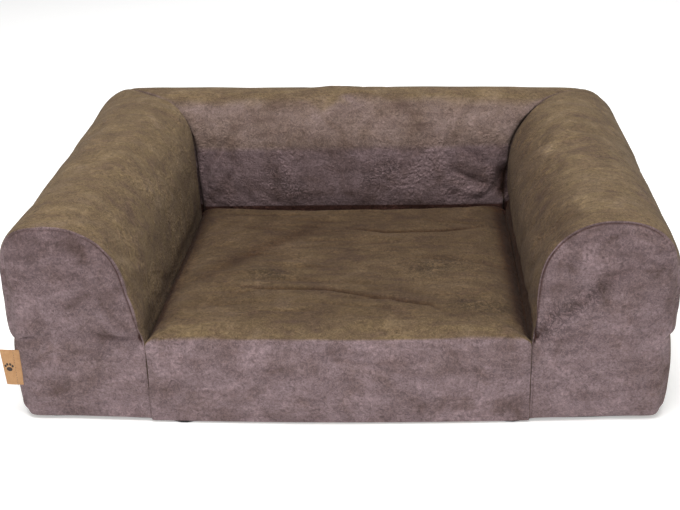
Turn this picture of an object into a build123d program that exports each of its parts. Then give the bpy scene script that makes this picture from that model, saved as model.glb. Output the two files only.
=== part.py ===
"""Dog bed with a bolster frame: a foam core in a sewn, zipped cover.

Millimetres, +Z up, front towards -Y. The origin is on the floor under the middle of the bed.
The foam slab carries three half-round foam bolsters, mitred at the two rear corners.
"""

import os

from build123d import *

# Overall sizes
overall_width = 800.0  # across both arms
overall_depth = 590.0  # front of the arms to the rear of the backrest
seat_height = 110.0  # floor to the top of the seat
arm_height = 252.0  # floor to the top of an arm at its front
back_height = 270.0  # floor to the top of the backrest, which the arms rise to
arm_thickness = 175.0  # an arm, across its foot on the seat
back_thickness = 163.0  # the backrest, front to rear at its foot

# Foam shape
wall_lean = 10.0  # slope of a bolster's inner wall, from its foot to its half-round top
bolster_overhang = 16.0  # the bolsters stand out past the base at the sides and the rear
seat_edge_radius = 14.0  # rounded front edge of the seat

# Cover cloth
cloth = 1.6  # suede cloth with its backing
bottom_cloth = 2.0  # non-slip cloth under the bed

# Label, a folded tab sewn into the seam at the front of the left side
label_height = 47.0
label_length = 16.0
label_thickness = 1.2
label_rise = 44.0  # floor to the label's lower edge

# Zip in the rear of the base
zip_rise = 50.0  # floor to the zip's centre line
zip_opening = 690.0
zip_gap = 13.0  # between the two cloth edges
tape_width = 14.0
tape_thickness = 0.8
tape_end = 12.0  # each tape runs on this far past the opening
coil_width = 2.8
coil_height = 2.2
coil_spacing = 1.6  # between the two coils, where the slider's post passes
stop_length = 2.6
stop_proud = 0.4  # a stop stands out this far past the coil

# Slider and pull tab
slider_length = 13.0
slider_width = 10.0
slider_corner = 2.4
plate_thickness = 1.3
post_length = 3.2
post_clearance = 0.25  # each side of the post
slider_clearance = 0.25  # between the slider and the tapes, coils and stops
flange_thickness = 0.95
flange_slot = 0.3  # from a tape's face to the slider's flange
bail_radius = 0.9
bail_standoff = 2.1  # outer plate to the bail's centre line
bail_foot = 1.5  # length of each foot of the bail
hub_width = 5.4
hub_wall = 0.8
hub_side_clearance = 0.3
pull_clearance = 0.08  # radial, between the bail and the pull tab's eye
pull_length = 25.0
pull_width = 8.0
pull_thickness = 1.4
pull_neck = 4.0  # length of the narrow part between the bail's feet
pull_corner = 2.5
grip_hole_length = 9.0
grip_hole_width = 3.2
grip_hole_rise = 8.5  # the hole's middle above the tab's free end

# Places worked out from the sizes above
deck = seat_height - cloth  # top of the base foam
front = -overall_depth / 2
rear = overall_depth / 2
half_width = overall_width / 2
seat_half = half_width - arm_thickness
seat_rear = rear - back_thickness
base_half = half_width - bolster_overhang
base_rear = rear - bolster_overhang
foam_front = front + cloth

tape_outer = base_rear - cloth  # the tapes are sewn to the inside of the rear panels
tape_inner = tape_outer - tape_thickness
coil_outer = tape_outer + coil_height
coil_edge = coil_spacing / 2 + coil_width
plate_inner = coil_outer + slider_clearance
plate_outer = plate_inner + plate_thickness
back_plate_outer = tape_inner - slider_clearance
back_plate_inner = back_plate_outer - plate_thickness
bail_height = plate_outer + bail_standoff
slider_rest = -zip_opening / 2 + stop_length + slider_clearance + slider_length / 2
slider_travel = zip_opening - 2 * (stop_length + slider_clearance) - slider_length
relief_depth = tape_outer - back_plate_inner + slider_clearance
relief_length = zip_opening + 2 * (tape_end + slider_clearance)
relief_height = 2 * tape_width + coil_spacing + 2 * slider_clearance

# A mitre runs from the seat's rear corner through the base's rear corner
mitre_width = base_half - seat_half
mitre_depth = base_rear - seat_rear
left_mitre = Plane(
    origin=(-seat_half, seat_rear, 0),
    x_dir=(-mitre_width, mitre_depth, 0),
    z_dir=(mitre_depth, mitre_width, 0),
)
right_mitre = Plane(
    origin=(seat_half, seat_rear, 0),
    x_dir=(mitre_width, mitre_depth, 0),
    z_dir=(-mitre_depth, mitre_width, 0),
)


def arm_plane(distance: float) -> Plane:
    """Upright plane across the right arm at Y = distance, its origin at the arm's foot beside the seat."""
    return Plane(origin=(seat_half, distance, deck), x_dir=(1, 0, 0), z_dir=(0, -1, 0))


def back_plane() -> Plane:
    """Upright plane across the middle of the backrest, its origin at the foot behind the seat."""
    return Plane(origin=(0, seat_rear, deck), x_dir=(0, 1, 0), z_dir=(1, 0, 0))


def front_to_rear_plane(distance: float, height: float) -> Plane:
    """Upright plane along the bed's middle, its origin at Y = distance and Z = height."""
    return Plane(origin=(0, distance, height), x_dir=(0, 1, 0), z_dir=(1, 0, 0))


def rear_plane(distance: float) -> Plane:
    """Upright plane at Y = distance with its origin on the floor, whose extrusions go towards the front."""
    return Plane(origin=(0, distance, 0), x_dir=(1, 0, 0), z_dir=(0, -1, 0))


def bolster_section(thickness: float, top: float, skin: float, mode: Mode = Mode.ADD):
    """Add a bolster's section, skin inside its cover's face, with its foot at the sketch's origin."""
    radius = (thickness - wall_lean) / 2
    centre = top - deck - radius
    with BuildLine() as outline:
        inner_wall = Line((skin, 0), (wall_lean + skin, centre))
        crown_top = (wall_lean + radius, centre + radius - skin)
        crown = ThreePointArc(inner_wall @ 1, crown_top, (thickness - skin, centre))
        outer_wall = Line(crown @ 1, (thickness - skin, 0))
        Line(outer_wall @ 1, inner_wall @ 0)
    make_face(outline.edges(), mode=mode)


def overhang_lip(thickness: float):
    """Add the strip of cover that turns in under a bolster's overhang."""
    with Locations((thickness, 0)):
        Rectangle(bolster_overhang, cloth, align=(Align.MAX, Align.MAX))


def cover_section(thickness: float, top: float):
    """Add the section of a bolster's cover: the wrap over the foam and the lip under the overhang."""
    bolster_section(thickness, top, 0)
    bolster_section(thickness, top, cloth, mode=Mode.SUBTRACT)
    overhang_lip(thickness)


# Base

with BuildPart() as bottom_panel:
    with BuildSketch(Plane.XY):
        with Locations((0, (front + base_rear) / 2)):
            Rectangle(2 * base_half, base_rear - front)
    extrude(amount=bottom_cloth)

with BuildPart() as base_foam:
    with BuildSketch(Plane.XY.offset(bottom_cloth)):
        with Locations((0, (foam_front + tape_outer) / 2)):
            Rectangle(2 * (base_half - cloth), tape_outer - foam_front)
    extrude(amount=deck - bottom_cloth)
    foam_edge_radius = seat_edge_radius - cloth
    with BuildSketch(front_to_rear_plane(foam_front, deck)):
        Rectangle(foam_edge_radius, foam_edge_radius, align=(Align.MIN, Align.MAX))
        with Locations((foam_edge_radius, -foam_edge_radius)):
            Circle(foam_edge_radius, mode=Mode.SUBTRACT)
    extrude(amount=seat_half, both=True, mode=Mode.SUBTRACT)
    with BuildSketch(rear_plane(tape_outer)):
        with Locations((0, zip_rise)):
            Rectangle(relief_length, relief_height)
    extrude(amount=relief_depth, mode=Mode.SUBTRACT)

with BuildPart() as seat_cover:
    seat_span = seat_rear - front
    drop = seat_height - bottom_cloth
    with BuildSketch(front_to_rear_plane(front, bottom_cloth)):
        with BuildLine():
            outer_drop = Line((0, 0), (0, drop - seat_edge_radius))
            outer_turn = RadiusArc(outer_drop @ 1, (seat_edge_radius, drop), seat_edge_radius)
            outer_top = Line(outer_turn @ 1, (seat_span, drop))
            rear_edge = Line(outer_top @ 1, (seat_span, drop - cloth))
            inner_top = Line(rear_edge @ 1, (seat_edge_radius, drop - cloth))
            turn_foot = (cloth, drop - seat_edge_radius)
            inner_turn = RadiusArc(inner_top @ 1, turn_foot, -foam_edge_radius)
            inner_drop = Line(inner_turn @ 1, (cloth, 0))
            Line(inner_drop @ 1, outer_drop @ 0)
        make_face()
    extrude(amount=seat_half, both=True)

with BuildPart() as right_side_panel:
    with BuildSketch(Plane.XY.offset(bottom_cloth)):
        with Locations((base_half, base_rear)):
            Rectangle(cloth, base_rear - foam_front, align=(Align.MAX, Align.MAX))
    extrude(amount=deck - bottom_cloth)

with BuildPart() as left_side_panel:
    add(mirror(right_side_panel.part, about=Plane.YZ))

# Bolsters

with BuildPart() as right_arm_foam:
    with BuildSketch(arm_plane(foam_front)):
        bolster_section(arm_thickness, arm_height, cloth)
    with BuildSketch(arm_plane(seat_rear)):
        bolster_section(arm_thickness, back_height, cloth)
    loft(ruled=True)
    with BuildSketch(arm_plane(seat_rear)):
        bolster_section(arm_thickness, back_height, cloth)
    extrude(amount=-back_thickness)
    split(bisect_by=right_mitre, keep=Keep.BOTTOM)

with BuildPart() as left_arm_foam:
    add(mirror(right_arm_foam.part, about=Plane.YZ))

with BuildPart() as back_foam:
    with BuildSketch(back_plane()):
        bolster_section(back_thickness, back_height, cloth)
    extrude(amount=half_width, both=True)
    split(bisect_by=right_mitre, keep=Keep.TOP)
    split(bisect_by=left_mitre, keep=Keep.TOP)

with BuildPart() as right_arm_cover:
    with BuildSketch(arm_plane(foam_front)):
        cover_section(arm_thickness, arm_height)
    with BuildSketch(arm_plane(seat_rear)):
        cover_section(arm_thickness, back_height)
    loft(ruled=True)
    with BuildSketch(arm_plane(seat_rear)):
        cover_section(arm_thickness, back_height)
    extrude(amount=-back_thickness)
    split(bisect_by=right_mitre, keep=Keep.BOTTOM)

with BuildPart() as left_arm_cover:
    add(mirror(right_arm_cover.part, about=Plane.YZ))

with BuildPart() as back_cover:
    with BuildSketch(back_plane()):
        cover_section(back_thickness, back_height)
    extrude(amount=half_width, both=True)
    split(bisect_by=right_mitre, keep=Keep.TOP)
    split(bisect_by=left_mitre, keep=Keep.TOP)

with BuildPart() as right_arm_front:
    with BuildSketch(arm_plane(foam_front)):
        bolster_section(arm_thickness, arm_height, 0)
        overhang_lip(arm_thickness)
        base_height = deck - bottom_cloth
        Rectangle(base_half - seat_half, base_height, align=(Align.MIN, Align.MAX))
    extrude(amount=cloth)

with BuildPart() as left_arm_front:
    add(mirror(right_arm_front.part, about=Plane.YZ))

with BuildPart() as side_label:
    with BuildSketch(rear_plane(foam_front + label_thickness)):
        with Locations((-base_half, label_rise)):
            Rectangle(label_length, label_height, align=(Align.MAX, Align.MIN))
    extrude(amount=label_thickness)

# Rear of the base, with the zip


def rear_panel(low: float, high: float):
    """Add the sketch of a rear panel from low to high, with its half of the zip's opening cut out."""
    with Locations((0, (low + high) / 2)):
        Rectangle(2 * (base_half - cloth), high - low)
    with Locations((0, zip_rise)):
        Rectangle(zip_opening, zip_gap, mode=Mode.SUBTRACT)


def zip_strip(length: float, width: float, side: int, end: float = 0.0):
    """Add a strip on one side of the zip: side is +1 above the centre line and -1 below it."""
    middle = zip_rise + side * (coil_spacing + width) / 2
    with Locations((end, middle)):
        Rectangle(length, width)


with BuildPart() as rear_panel_upper:
    with BuildSketch(rear_plane(base_rear)):
        rear_panel(zip_rise, deck)
    extrude(amount=cloth)

with BuildPart() as rear_panel_lower:
    with BuildSketch(rear_plane(base_rear)):
        rear_panel(bottom_cloth, zip_rise)
    extrude(amount=cloth)

tape_length = zip_opening + 2 * tape_end
coil_length = zip_opening - 2 * stop_length
stop_middle = (zip_opening - stop_length) / 2
stop_height = coil_height + stop_proud

with BuildPart() as zip_tape_upper:
    with BuildSketch(rear_plane(tape_outer)):
        zip_strip(tape_length, tape_width, 1)
    extrude(amount=tape_thickness)

with BuildPart() as zip_tape_lower:
    with BuildSketch(rear_plane(tape_outer)):
        zip_strip(tape_length, tape_width, -1)
    extrude(amount=tape_thickness)

with BuildPart() as zip_coil_upper:
    with BuildSketch(rear_plane(coil_outer)):
        zip_strip(coil_length, coil_width, 1)
    extrude(amount=coil_height)

with BuildPart() as zip_coil_lower:
    with BuildSketch(rear_plane(coil_outer)):
        zip_strip(coil_length, coil_width, -1)
    extrude(amount=coil_height)

with BuildPart() as zip_top_stops:
    with BuildSketch(rear_plane(tape_outer + stop_height)):
        for side in (1, -1):
            zip_strip(stop_length, coil_width, side, end=-stop_middle)
    extrude(amount=stop_height)

with BuildPart() as zip_bottom_stop:
    with BuildSketch(rear_plane(tape_outer + stop_height)):
        with Locations((stop_middle, zip_rise)):
            Rectangle(stop_length, 2 * coil_edge)
    extrude(amount=stop_height)

bail_span = hub_width + 2 * hub_side_clearance
bail_plane = Plane(origin=(slider_rest, bail_height, zip_rise), x_dir=(0, 1, 0), z_dir=(1, 0, 0))

with BuildPart() as zip_slider:
    with BuildSketch(rear_plane(plate_outer), rear_plane(back_plate_outer)):
        with Locations((slider_rest, zip_rise)):
            RectangleRounded(slider_length, slider_width, slider_corner)
    extrude(amount=plate_thickness)
    with BuildSketch(rear_plane(plate_inner)):
        for side in (1, -1):
            with Locations((slider_rest, zip_rise + side * slider_width / 2)):
                flange_side = Align.MAX if side == 1 else Align.MIN
                flange_length = slider_length - 2 * slider_corner
                Rectangle(flange_length, flange_thickness, align=(Align.CENTER, flange_side))
    extrude(amount=plate_inner - tape_outer - flange_slot)
    with BuildSketch(rear_plane(plate_inner)):
        with Locations((slider_rest - slider_length / 2 + slider_corner, zip_rise)):
            post_width = coil_spacing - 2 * post_clearance
            Rectangle(post_length, post_width)
    extrude(amount=plate_inner - back_plate_outer)
    with BuildSketch(rear_plane(bail_height + bail_radius)):
        with Locations((slider_rest, zip_rise)):
            with GridLocations(bail_span + bail_foot, 0, 2, 1):
                Rectangle(bail_foot, 2 * bail_radius)
    extrude(amount=bail_radius + bail_standoff)
    with BuildSketch(bail_plane):
        Circle(bail_radius)
    extrude(amount=bail_span / 2, both=True)

with BuildPart() as zip_pull:
    with BuildSketch(rear_plane(bail_height + pull_thickness / 2)):
        with Locations((slider_rest, zip_rise)):
            Rectangle(hub_width, pull_neck + pull_corner, align=(Align.CENTER, Align.MAX))
        with Locations((slider_rest, zip_rise - (pull_neck + pull_length) / 2)):
            RectangleRounded(pull_width, pull_length - pull_neck, pull_corner)
        with Locations((slider_rest, zip_rise - pull_length + grip_hole_rise)):
            SlotOverall(grip_hole_length, grip_hole_width, rotation=90, mode=Mode.SUBTRACT)
    extrude(amount=pull_thickness)
    with BuildSketch(bail_plane):
        Circle(bail_radius + pull_clearance + hub_wall)
    extrude(amount=hub_width / 2, both=True)
    with BuildSketch(bail_plane):
        Circle(bail_radius + pull_clearance)
    extrude(amount=hub_width / 2, both=True, mode=Mode.SUBTRACT)

pieces = {
    "bottom_panel": bottom_panel,
    "base_foam": base_foam,
    "seat_cover": seat_cover,
    "left_side_panel": left_side_panel,
    "right_side_panel": right_side_panel,
    "left_arm_foam": left_arm_foam,
    "right_arm_foam": right_arm_foam,
    "back_foam": back_foam,
    "left_arm_cover": left_arm_cover,
    "right_arm_cover": right_arm_cover,
    "back_cover": back_cover,
    "left_arm_front": left_arm_front,
    "right_arm_front": right_arm_front,
    "side_label": side_label,
    "rear_panel_upper": rear_panel_upper,
    "rear_panel_lower": rear_panel_lower,
    "zip_tape_upper": zip_tape_upper,
    "zip_tape_lower": zip_tape_lower,
    "zip_coil_upper": zip_coil_upper,
    "zip_coil_lower": zip_coil_lower,
    "zip_top_stops": zip_top_stops,
    "zip_bottom_stop": zip_bottom_stop,
    "zip_slider": zip_slider,
    "zip_pull": zip_pull,
}

os.makedirs("parts", exist_ok=True)
for name, piece in pieces.items():
    piece.part.label = name
    export_step(piece.part, f"parts/{name}.step")

print("slider travel", round(slider_travel, 2), "from X", round(slider_rest, 2))
print("pull hinge at", round(slider_rest, 2), round(bail_height, 2), zip_rise)
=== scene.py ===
"""Dog bed with a bolster frame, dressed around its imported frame.

Metres, +Z up, front towards -Y, the origin on the floor under the middle of the bed. The base with its
seat, the two arms and the backrest are padded forms that meet in sewn seams. Each follows one outline
that changes along its length. The zip, the label and the cloth under the bed are separate pieces.
"""

import functools
import logging
import math
import random
from dataclasses import dataclass, field
from enum import Enum
from typing import Callable, Sequence

import bmesh
import bpy
import numpy as np
from mathutils import Matrix, Vector, noise


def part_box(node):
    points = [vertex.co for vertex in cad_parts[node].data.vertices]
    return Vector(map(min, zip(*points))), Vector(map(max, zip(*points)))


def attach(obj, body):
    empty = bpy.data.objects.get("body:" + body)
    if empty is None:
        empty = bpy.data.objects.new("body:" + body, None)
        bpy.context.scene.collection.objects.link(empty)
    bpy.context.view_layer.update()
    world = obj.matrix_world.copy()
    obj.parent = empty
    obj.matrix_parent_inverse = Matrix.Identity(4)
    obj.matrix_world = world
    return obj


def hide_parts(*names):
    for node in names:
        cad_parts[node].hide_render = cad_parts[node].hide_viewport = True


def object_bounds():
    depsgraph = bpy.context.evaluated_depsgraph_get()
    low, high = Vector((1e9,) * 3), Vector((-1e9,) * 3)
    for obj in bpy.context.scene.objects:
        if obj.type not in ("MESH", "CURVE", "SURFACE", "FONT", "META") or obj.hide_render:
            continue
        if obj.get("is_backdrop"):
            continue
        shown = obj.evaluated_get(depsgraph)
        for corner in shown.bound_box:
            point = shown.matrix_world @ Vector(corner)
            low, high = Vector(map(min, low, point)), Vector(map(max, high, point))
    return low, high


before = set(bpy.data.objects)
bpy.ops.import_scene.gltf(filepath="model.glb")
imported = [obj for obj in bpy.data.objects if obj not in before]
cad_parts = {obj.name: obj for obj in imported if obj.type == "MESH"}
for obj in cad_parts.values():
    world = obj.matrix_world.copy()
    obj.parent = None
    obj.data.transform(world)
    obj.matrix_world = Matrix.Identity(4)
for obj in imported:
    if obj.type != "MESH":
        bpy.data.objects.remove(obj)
cad_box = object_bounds()

Array = np.ndarray
Object = bpy.types.Object
Socket = bpy.types.NodeSocket
Place = tuple[float, float, float]
Colour = tuple[float, float, float]
Arc = tuple[Array, float, float]

LOG = logging.getLogger("dog_bed")
SEED = 7
BED = "bed"


# Sizes that the frame holds


@dataclass(frozen=True)
class BedSizes:
    """The places that the dressed pieces share, read from the frame."""

    seat_half: float
    seat_top: float
    seat_rear: float
    front: float
    rear: float
    half_width: float
    base_half: float
    base_rear: float
    deck: float
    arm_top: float
    back_top: float
    floor_cloth: float

    @classmethod
    def from_frame(cls) -> "BedSizes":
        """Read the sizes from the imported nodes.

        Returns:
            The bed's shared places, in metres.
        """
        seat_low, seat_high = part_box("seat_cover")
        panel_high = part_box("right_side_panel")[1]
        arm_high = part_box("right_arm_cover")[1]
        back_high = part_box("back_cover")[1]
        return cls(
            seat_half=seat_high.x,
            seat_top=seat_high.z,
            seat_rear=seat_high.y,
            front=seat_low.y,
            rear=back_high.y,
            half_width=arm_high.x,
            base_half=panel_high.x,
            base_rear=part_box("rear_panel_upper")[1].y,
            deck=panel_high.z,
            arm_top=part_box("right_arm_front")[1].z,
            back_top=back_high.z,
            floor_cloth=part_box("bottom_panel")[1].z,
        )


class Side(Enum):
    """The two arms, as the sign of X on their side."""

    LEFT = -1
    RIGHT = 1


def smoothstep(low: float, high: float, value: Array) -> Array:
    """Rise smoothly from 0 at low to 1 at high."""
    t = np.clip((value - low) / (high - low), 0.0, 1.0)
    return t * t * (3.0 - 2.0 * t)


# Outlines


@dataclass(frozen=True)
class Corner:
    """A corner of an outline, rounded by an arc.

    Attributes:
        across: distance outward from the outline's inner foot.
        height: height above the floor.
        radius: radius of the arc.
        steps: steps in each half of the arc.
    """

    across: float
    height: float
    radius: float
    steps: int = 2

    def arc(self, before: "Corner", after: "Corner") -> Arc:
        """Find the arc that rounds this corner.

        Args:
            before: the corner before this one.
            after: the corner after it.

        Returns:
            The arc's centre, its first angle and the angle that it turns through.
        """
        here = np.array([self.across, self.height])
        back = np.array([before.across, before.height]) - here
        ahead = np.array([after.across, after.height]) - here
        back /= np.linalg.norm(back)
        ahead /= np.linalg.norm(ahead)
        half = math.acos(float(np.clip(back @ ahead, -1.0, 1.0))) / 2
        middle = back + ahead
        centre = here + middle / np.linalg.norm(middle) * self.radius / math.sin(half)
        reach = self.radius / math.tan(half)
        start = here + back * reach - centre
        end = here + ahead * reach - centre
        first = math.atan2(start[1], start[0])
        turn = math.atan2(end[1], end[0]) - first
        return centre, first, (turn + math.pi) % (2 * math.pi) - math.pi


@dataclass(frozen=True)
class Outline:
    """A closed outline of rounded corners, with the steps along each straight line after a corner."""

    corners: tuple[Corner, ...]
    lines: tuple[int, ...]

    def points(self) -> Array:
        """Walk the outline once, from the middle of the first corner's arc.

        Returns:
            One row of (across, height) for each point.
        """
        count = len(self.corners)
        arcs = [corner.arc(self.corners[i - 1], self.corners[(i + 1) % count])
                for i, corner in enumerate(self.corners)]
        rows = []
        for i, corner in enumerate(self.corners):
            following = self.corners[(i + 1) % count]
            rows += self._arc_points(corner, arcs[i], 0.5, 1.0)
            start = self._on_arc(corner, arcs[i], 1.0)
            end = self._on_arc(following, arcs[(i + 1) % count], 0.0)
            rows.append(start)
            rows += [start + (end - start) * k / self.lines[i] for k in range(1, self.lines[i])]
            rows += self._arc_points(following, arcs[(i + 1) % count], 0.0, 0.5)
        return np.array(rows)

    @staticmethod
    def _on_arc(corner: Corner, arc: Arc, share: float) -> Array:
        """Return the point at that share of a corner's arc."""
        centre, first, turn = arc
        angle = first + turn * share
        return centre + corner.radius * np.array([math.cos(angle), math.sin(angle)])

    def _arc_points(self, corner: Corner, arc: Arc, start: float, end: float) -> list[Array]:
        """Return the points of half an arc, without its last one."""
        return [self._on_arc(corner, arc, start + (end - start) * k / corner.steps)
                for k in range(corner.steps)]

    def sides(self, ends: Sequence[int]) -> list[int]:
        """Return the index of the first point of each of the four sides, which start at these corners."""
        count = len(self.corners)
        starts, at = [], 0
        for i in range(count):
            if i in ends:
                starts.append(at)
            at += self.corners[i].steps + self.lines[i] + self.corners[(i + 1) % count].steps
        return starts + [at]


# Padded forms


class Facing(Enum):
    """The face of a piece that a fold lies on."""

    ANY = (0, 0, 0)
    UP = (0, 0, 1)
    FRONT = (0, -1, 0)


@dataclass
class Fold:
    """A soft fold or wrinkle in the cloth, along a line of points.

    Attributes:
        line: the points that it follows.
        width: half its width.
        height: how far it rises, or how deep it is if negative.
        shade: how much painted shade it lays along the fold, 0 to 1.
        facing: the face that it lies on; its depth along that way is not looked at.
        both_ends: whether it fades at its start too.
    """

    line: tuple[Place, ...]
    width: float
    height: float
    shade: float = 0.0
    facing: Facing = Facing.ANY
    both_ends: bool = True

    def strength(self, points: Array, out: Array) -> Array:
        """Work out how strongly each point feels the fold.

        Args:
            points: one row of coordinates for each point.
            out: the normal at each point.

        Returns:
            0 to 1 for each point.
        """
        way = np.array(self.facing.value, float)
        line = np.array(self.line) * (1 - np.abs(way))
        points = points * (1 - np.abs(way))
        nearest = np.full(len(points), np.inf)
        share = np.zeros(len(points))
        for k in range(len(line) - 1):
            along = line[k + 1] - line[k]
            part = np.clip((points - line[k]) @ along / (along @ along), 0.0, 1.0)
            away = np.linalg.norm(points - line[k] - part[:, None] * along, axis=1)
            closer = away < nearest
            share = np.where(closer, (k + part) / (len(line) - 1), share)
            nearest = np.where(closer, away, nearest)
        fade = np.clip(4.0 * (1.0 - share), 0.0, 1.0)
        if self.both_ends:
            fade = fade * np.clip(4.0 * share, 0.0, 1.0)
        if self.facing is not Facing.ANY:
            fade = fade * smoothstep(0.3, 0.6, out @ way)
        return fade * np.exp(-((nearest / self.width) ** 2))


@dataclass(frozen=True)
class Filling:
    """How the simulated cloth of a padded form fills.

    Attributes:
        pressure: how hard the filling pushes out.
        stretch_stiffness: how hard the cloth resists stretching and squashing.
        shear_stiffness: how hard it resists shearing.
        bending_stiffness: how hard it resists bending.
        slack: the share by which the cloth is too large.
        frames: frames to simulate.
    """

    pressure: float = 4.0
    stretch_stiffness: float = 30.0
    shear_stiffness: float = 12.0
    bending_stiffness: float = 1.5
    slack: float = 0.006
    frames: int = 20


@dataclass
class PaddedForm:
    """A closed padded form: an outline that changes along its length, with a puffed cap at each end.

    Attributes:
        name: the piece's name.
        outlines: the outline at the start, the middle and the end.
        ends: corners at which the four sides of a cap start.
        stations: rings along the length.
        start: where the form starts, for each point's distance across.
        finish: where it ends, for each point's distance across.
        place: turns (across, height, along) into a place in the bed.
        start_edge: radius of the edge round the starting cap, for each point of the outline.
        finish_edge: radius of the edge round the other cap.
        start_puff: how far the starting cap bulges.
        pillow: how far the simulated cloth may move.
        held: picks the points that sewing or a neighbour holds still while the cloth fills.
        start_seam: how much painted shade lies along the starting cap's seam at each point of the outline, 0
            to 1.
        finish_seam: the same painted shade along the other cap's seam.
        seam_depth: depth of the groove along a seam.
        seam_margin: width of the groove.
        edge_steps: rings round the edge of a cap.
        filling: how the cloth fills.
        seam_points: the points on the two seams, filled in by build().
    """

    name: str
    outlines: tuple[Outline, Outline, Outline]
    ends: tuple[int, int, int, int]
    stations: int
    start: Callable[[Array], Array]
    finish: Callable[[Array], Array]
    place: Callable[[Array, Array, Array], Array]
    start_edge: Array
    finish_edge: Array
    start_puff: float
    pillow: float
    held: Callable[[Array], Array]
    start_seam: Array
    finish_seam: Array
    seam_depth: float = 0.0020
    seam_margin: float = 0.0016
    edge_steps: int = 3
    filling: Filling = Filling()
    seam_points: list[int] = field(default_factory=list)

    def build(self) -> Object:
        """Make the form's mesh.

        Returns:
            The new object, with its seam's points listed in seam_points.
        """
        keys = [outline.points() for outline in self.outlines]
        count = len(keys[0])
        rings = self._rings(keys)
        points = np.concatenate(rings)
        faces = []
        for ring in range(len(rings) - 1):
            for i in range(count):
                j = (i + 1) % count
                low, high = ring * count, (ring + 1) * count
                faces.append((low + i, low + j, high + j, high + i))
        last = len(points) - 2 * count
        self.seam_points = [*range(count, 2 * count), *range(last, last + count)]
        seams = np.concatenate([self.start_seam, self.finish_seam])
        for first, puff, flip in ((0, self.start_puff, True), ((len(rings) - 1) * count, 0.0, False)):
            extra, cap_faces = self._cap(points[first:first + count], first, len(points), puff)
            points = np.concatenate([points, extra])
            faces += [tuple(reversed(face)) for face in cap_faces] if flip else cap_faces
        obj = new_object(self.name, new_mesh(self.name, points.tolist(), [], faces))
        turn_outward(obj)
        # Painted shade along both seams, where the cloth dips into the seam's groove.
        seam_shade = np.zeros(len(points))
        seam_shade[self.seam_points] = seams
        attribute(obj, "painted_shade", seam_shade)
        return obj

    def _rings(self, keys: list[Array]) -> list[Array]:
        """Place every ring of points along the form.

        Args:
            keys: the outline's points at the start, the middle and the end.

        Returns:
            One array of places for each ring.
        """
        shape = []
        for k in range(-1, self.edge_steps + 1):
            shape.append((0.0, k, self.start_edge, 1))
        for k in range(1, self.stations):
            shape.append((k / self.stations, None, None, 0))
        for k in range(self.edge_steps, -2, -1):
            shape.append((1.0, k, self.finish_edge, -1))
        rings = []
        for share, step, edge, side in shape:
            ring = quadratic(keys, share)
            begin, end = self.start(ring[:, 0]), self.finish(ring[:, 0])
            if step is None:
                low, high = begin + self.start_edge, end - self.finish_edge
                rings.append(self.place(ring[:, 0], ring[:, 1], low + (high - low) * share))
                continue
            angle = math.pi / 2 * max(step, 0) / self.edge_steps
            inset = edge * (1 - math.sin(angle))
            along = edge * (1 - math.cos(angle))
            if step == -1:
                inset = edge + self.seam_margin
                along = -0.0004 * np.ones_like(edge)
            if step == 0:
                along = along + self.seam_depth * (self.start_seam if side == 1 else self.finish_seam)
            ring = ring + inward(ring) * inset[:, None]
            rings.append(self.place(ring[:, 0], ring[:, 1], (begin + along) if side == 1 else (end - along)))
        return rings

    def _cap(self, rim: Array, first: int, new: int, puff: float) -> tuple[Array, list[tuple[int, ...]]]:
        """Fill one end with a grid that blends between the four sides of its rim.

        Args:
            rim: the rim's places, in order.
            first: index of the rim's first point.
            new: index that the first new point gets.
            puff: how far the middle bulges.

        Returns:
            The new points and the faces.
        """
        starts = self.outlines[0].sides(self.ends)
        tall, wide = starts[1] - starts[0], starts[2] - starts[1]
        inner = list(range(starts[0], starts[1] + 1))
        top = list(range(starts[1], starts[2] + 1))
        outer = list(range(starts[3], starts[2] - 1, -1))
        bottom = [i % len(rim) for i in range(starts[4], starts[3] - 1, -1)]
        grid = np.zeros((tall + 1, wide + 1), int)
        normal = np.cross(rim[top[-1]] - rim[bottom[0]], rim[top[0]] - rim[bottom[-1]])
        normal /= np.linalg.norm(normal)
        places = []
        for r in range(tall + 1):
            v = r / tall
            for c in range(wide + 1):
                u = c / wide
                if r in (0, tall) or c in (0, wide):
                    rim_index = {0: bottom[c], tall: top[c]}.get(r, inner[r] if c == 0 else outer[r])
                    grid[r, c] = first + rim_index
                    continue
                sides = (1 - v) * rim[bottom[c]] + v * rim[top[c]]
                sides = sides + (1 - u) * rim[inner[r]] + u * rim[outer[r]]
                corners = (1 - v) * ((1 - u) * rim[bottom[0]] + u * rim[bottom[-1]])
                corners = corners + v * ((1 - u) * rim[top[0]] + u * rim[top[-1]])
                swell = puff * (1 - abs(2 * u - 1) ** 3) * (1 - abs(2 * v - 1) ** 3)
                grid[r, c] = new + len(places)
                places.append(sides - corners + normal * swell)
        faces = []
        for r in range(tall):
            for c in range(wide):
                faces.append((grid[r, c], grid[r, c + 1], grid[r + 1, c + 1], grid[r + 1, c]))
        return np.array(places), [tuple(int(i) for i in face) for face in faces]

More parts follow.
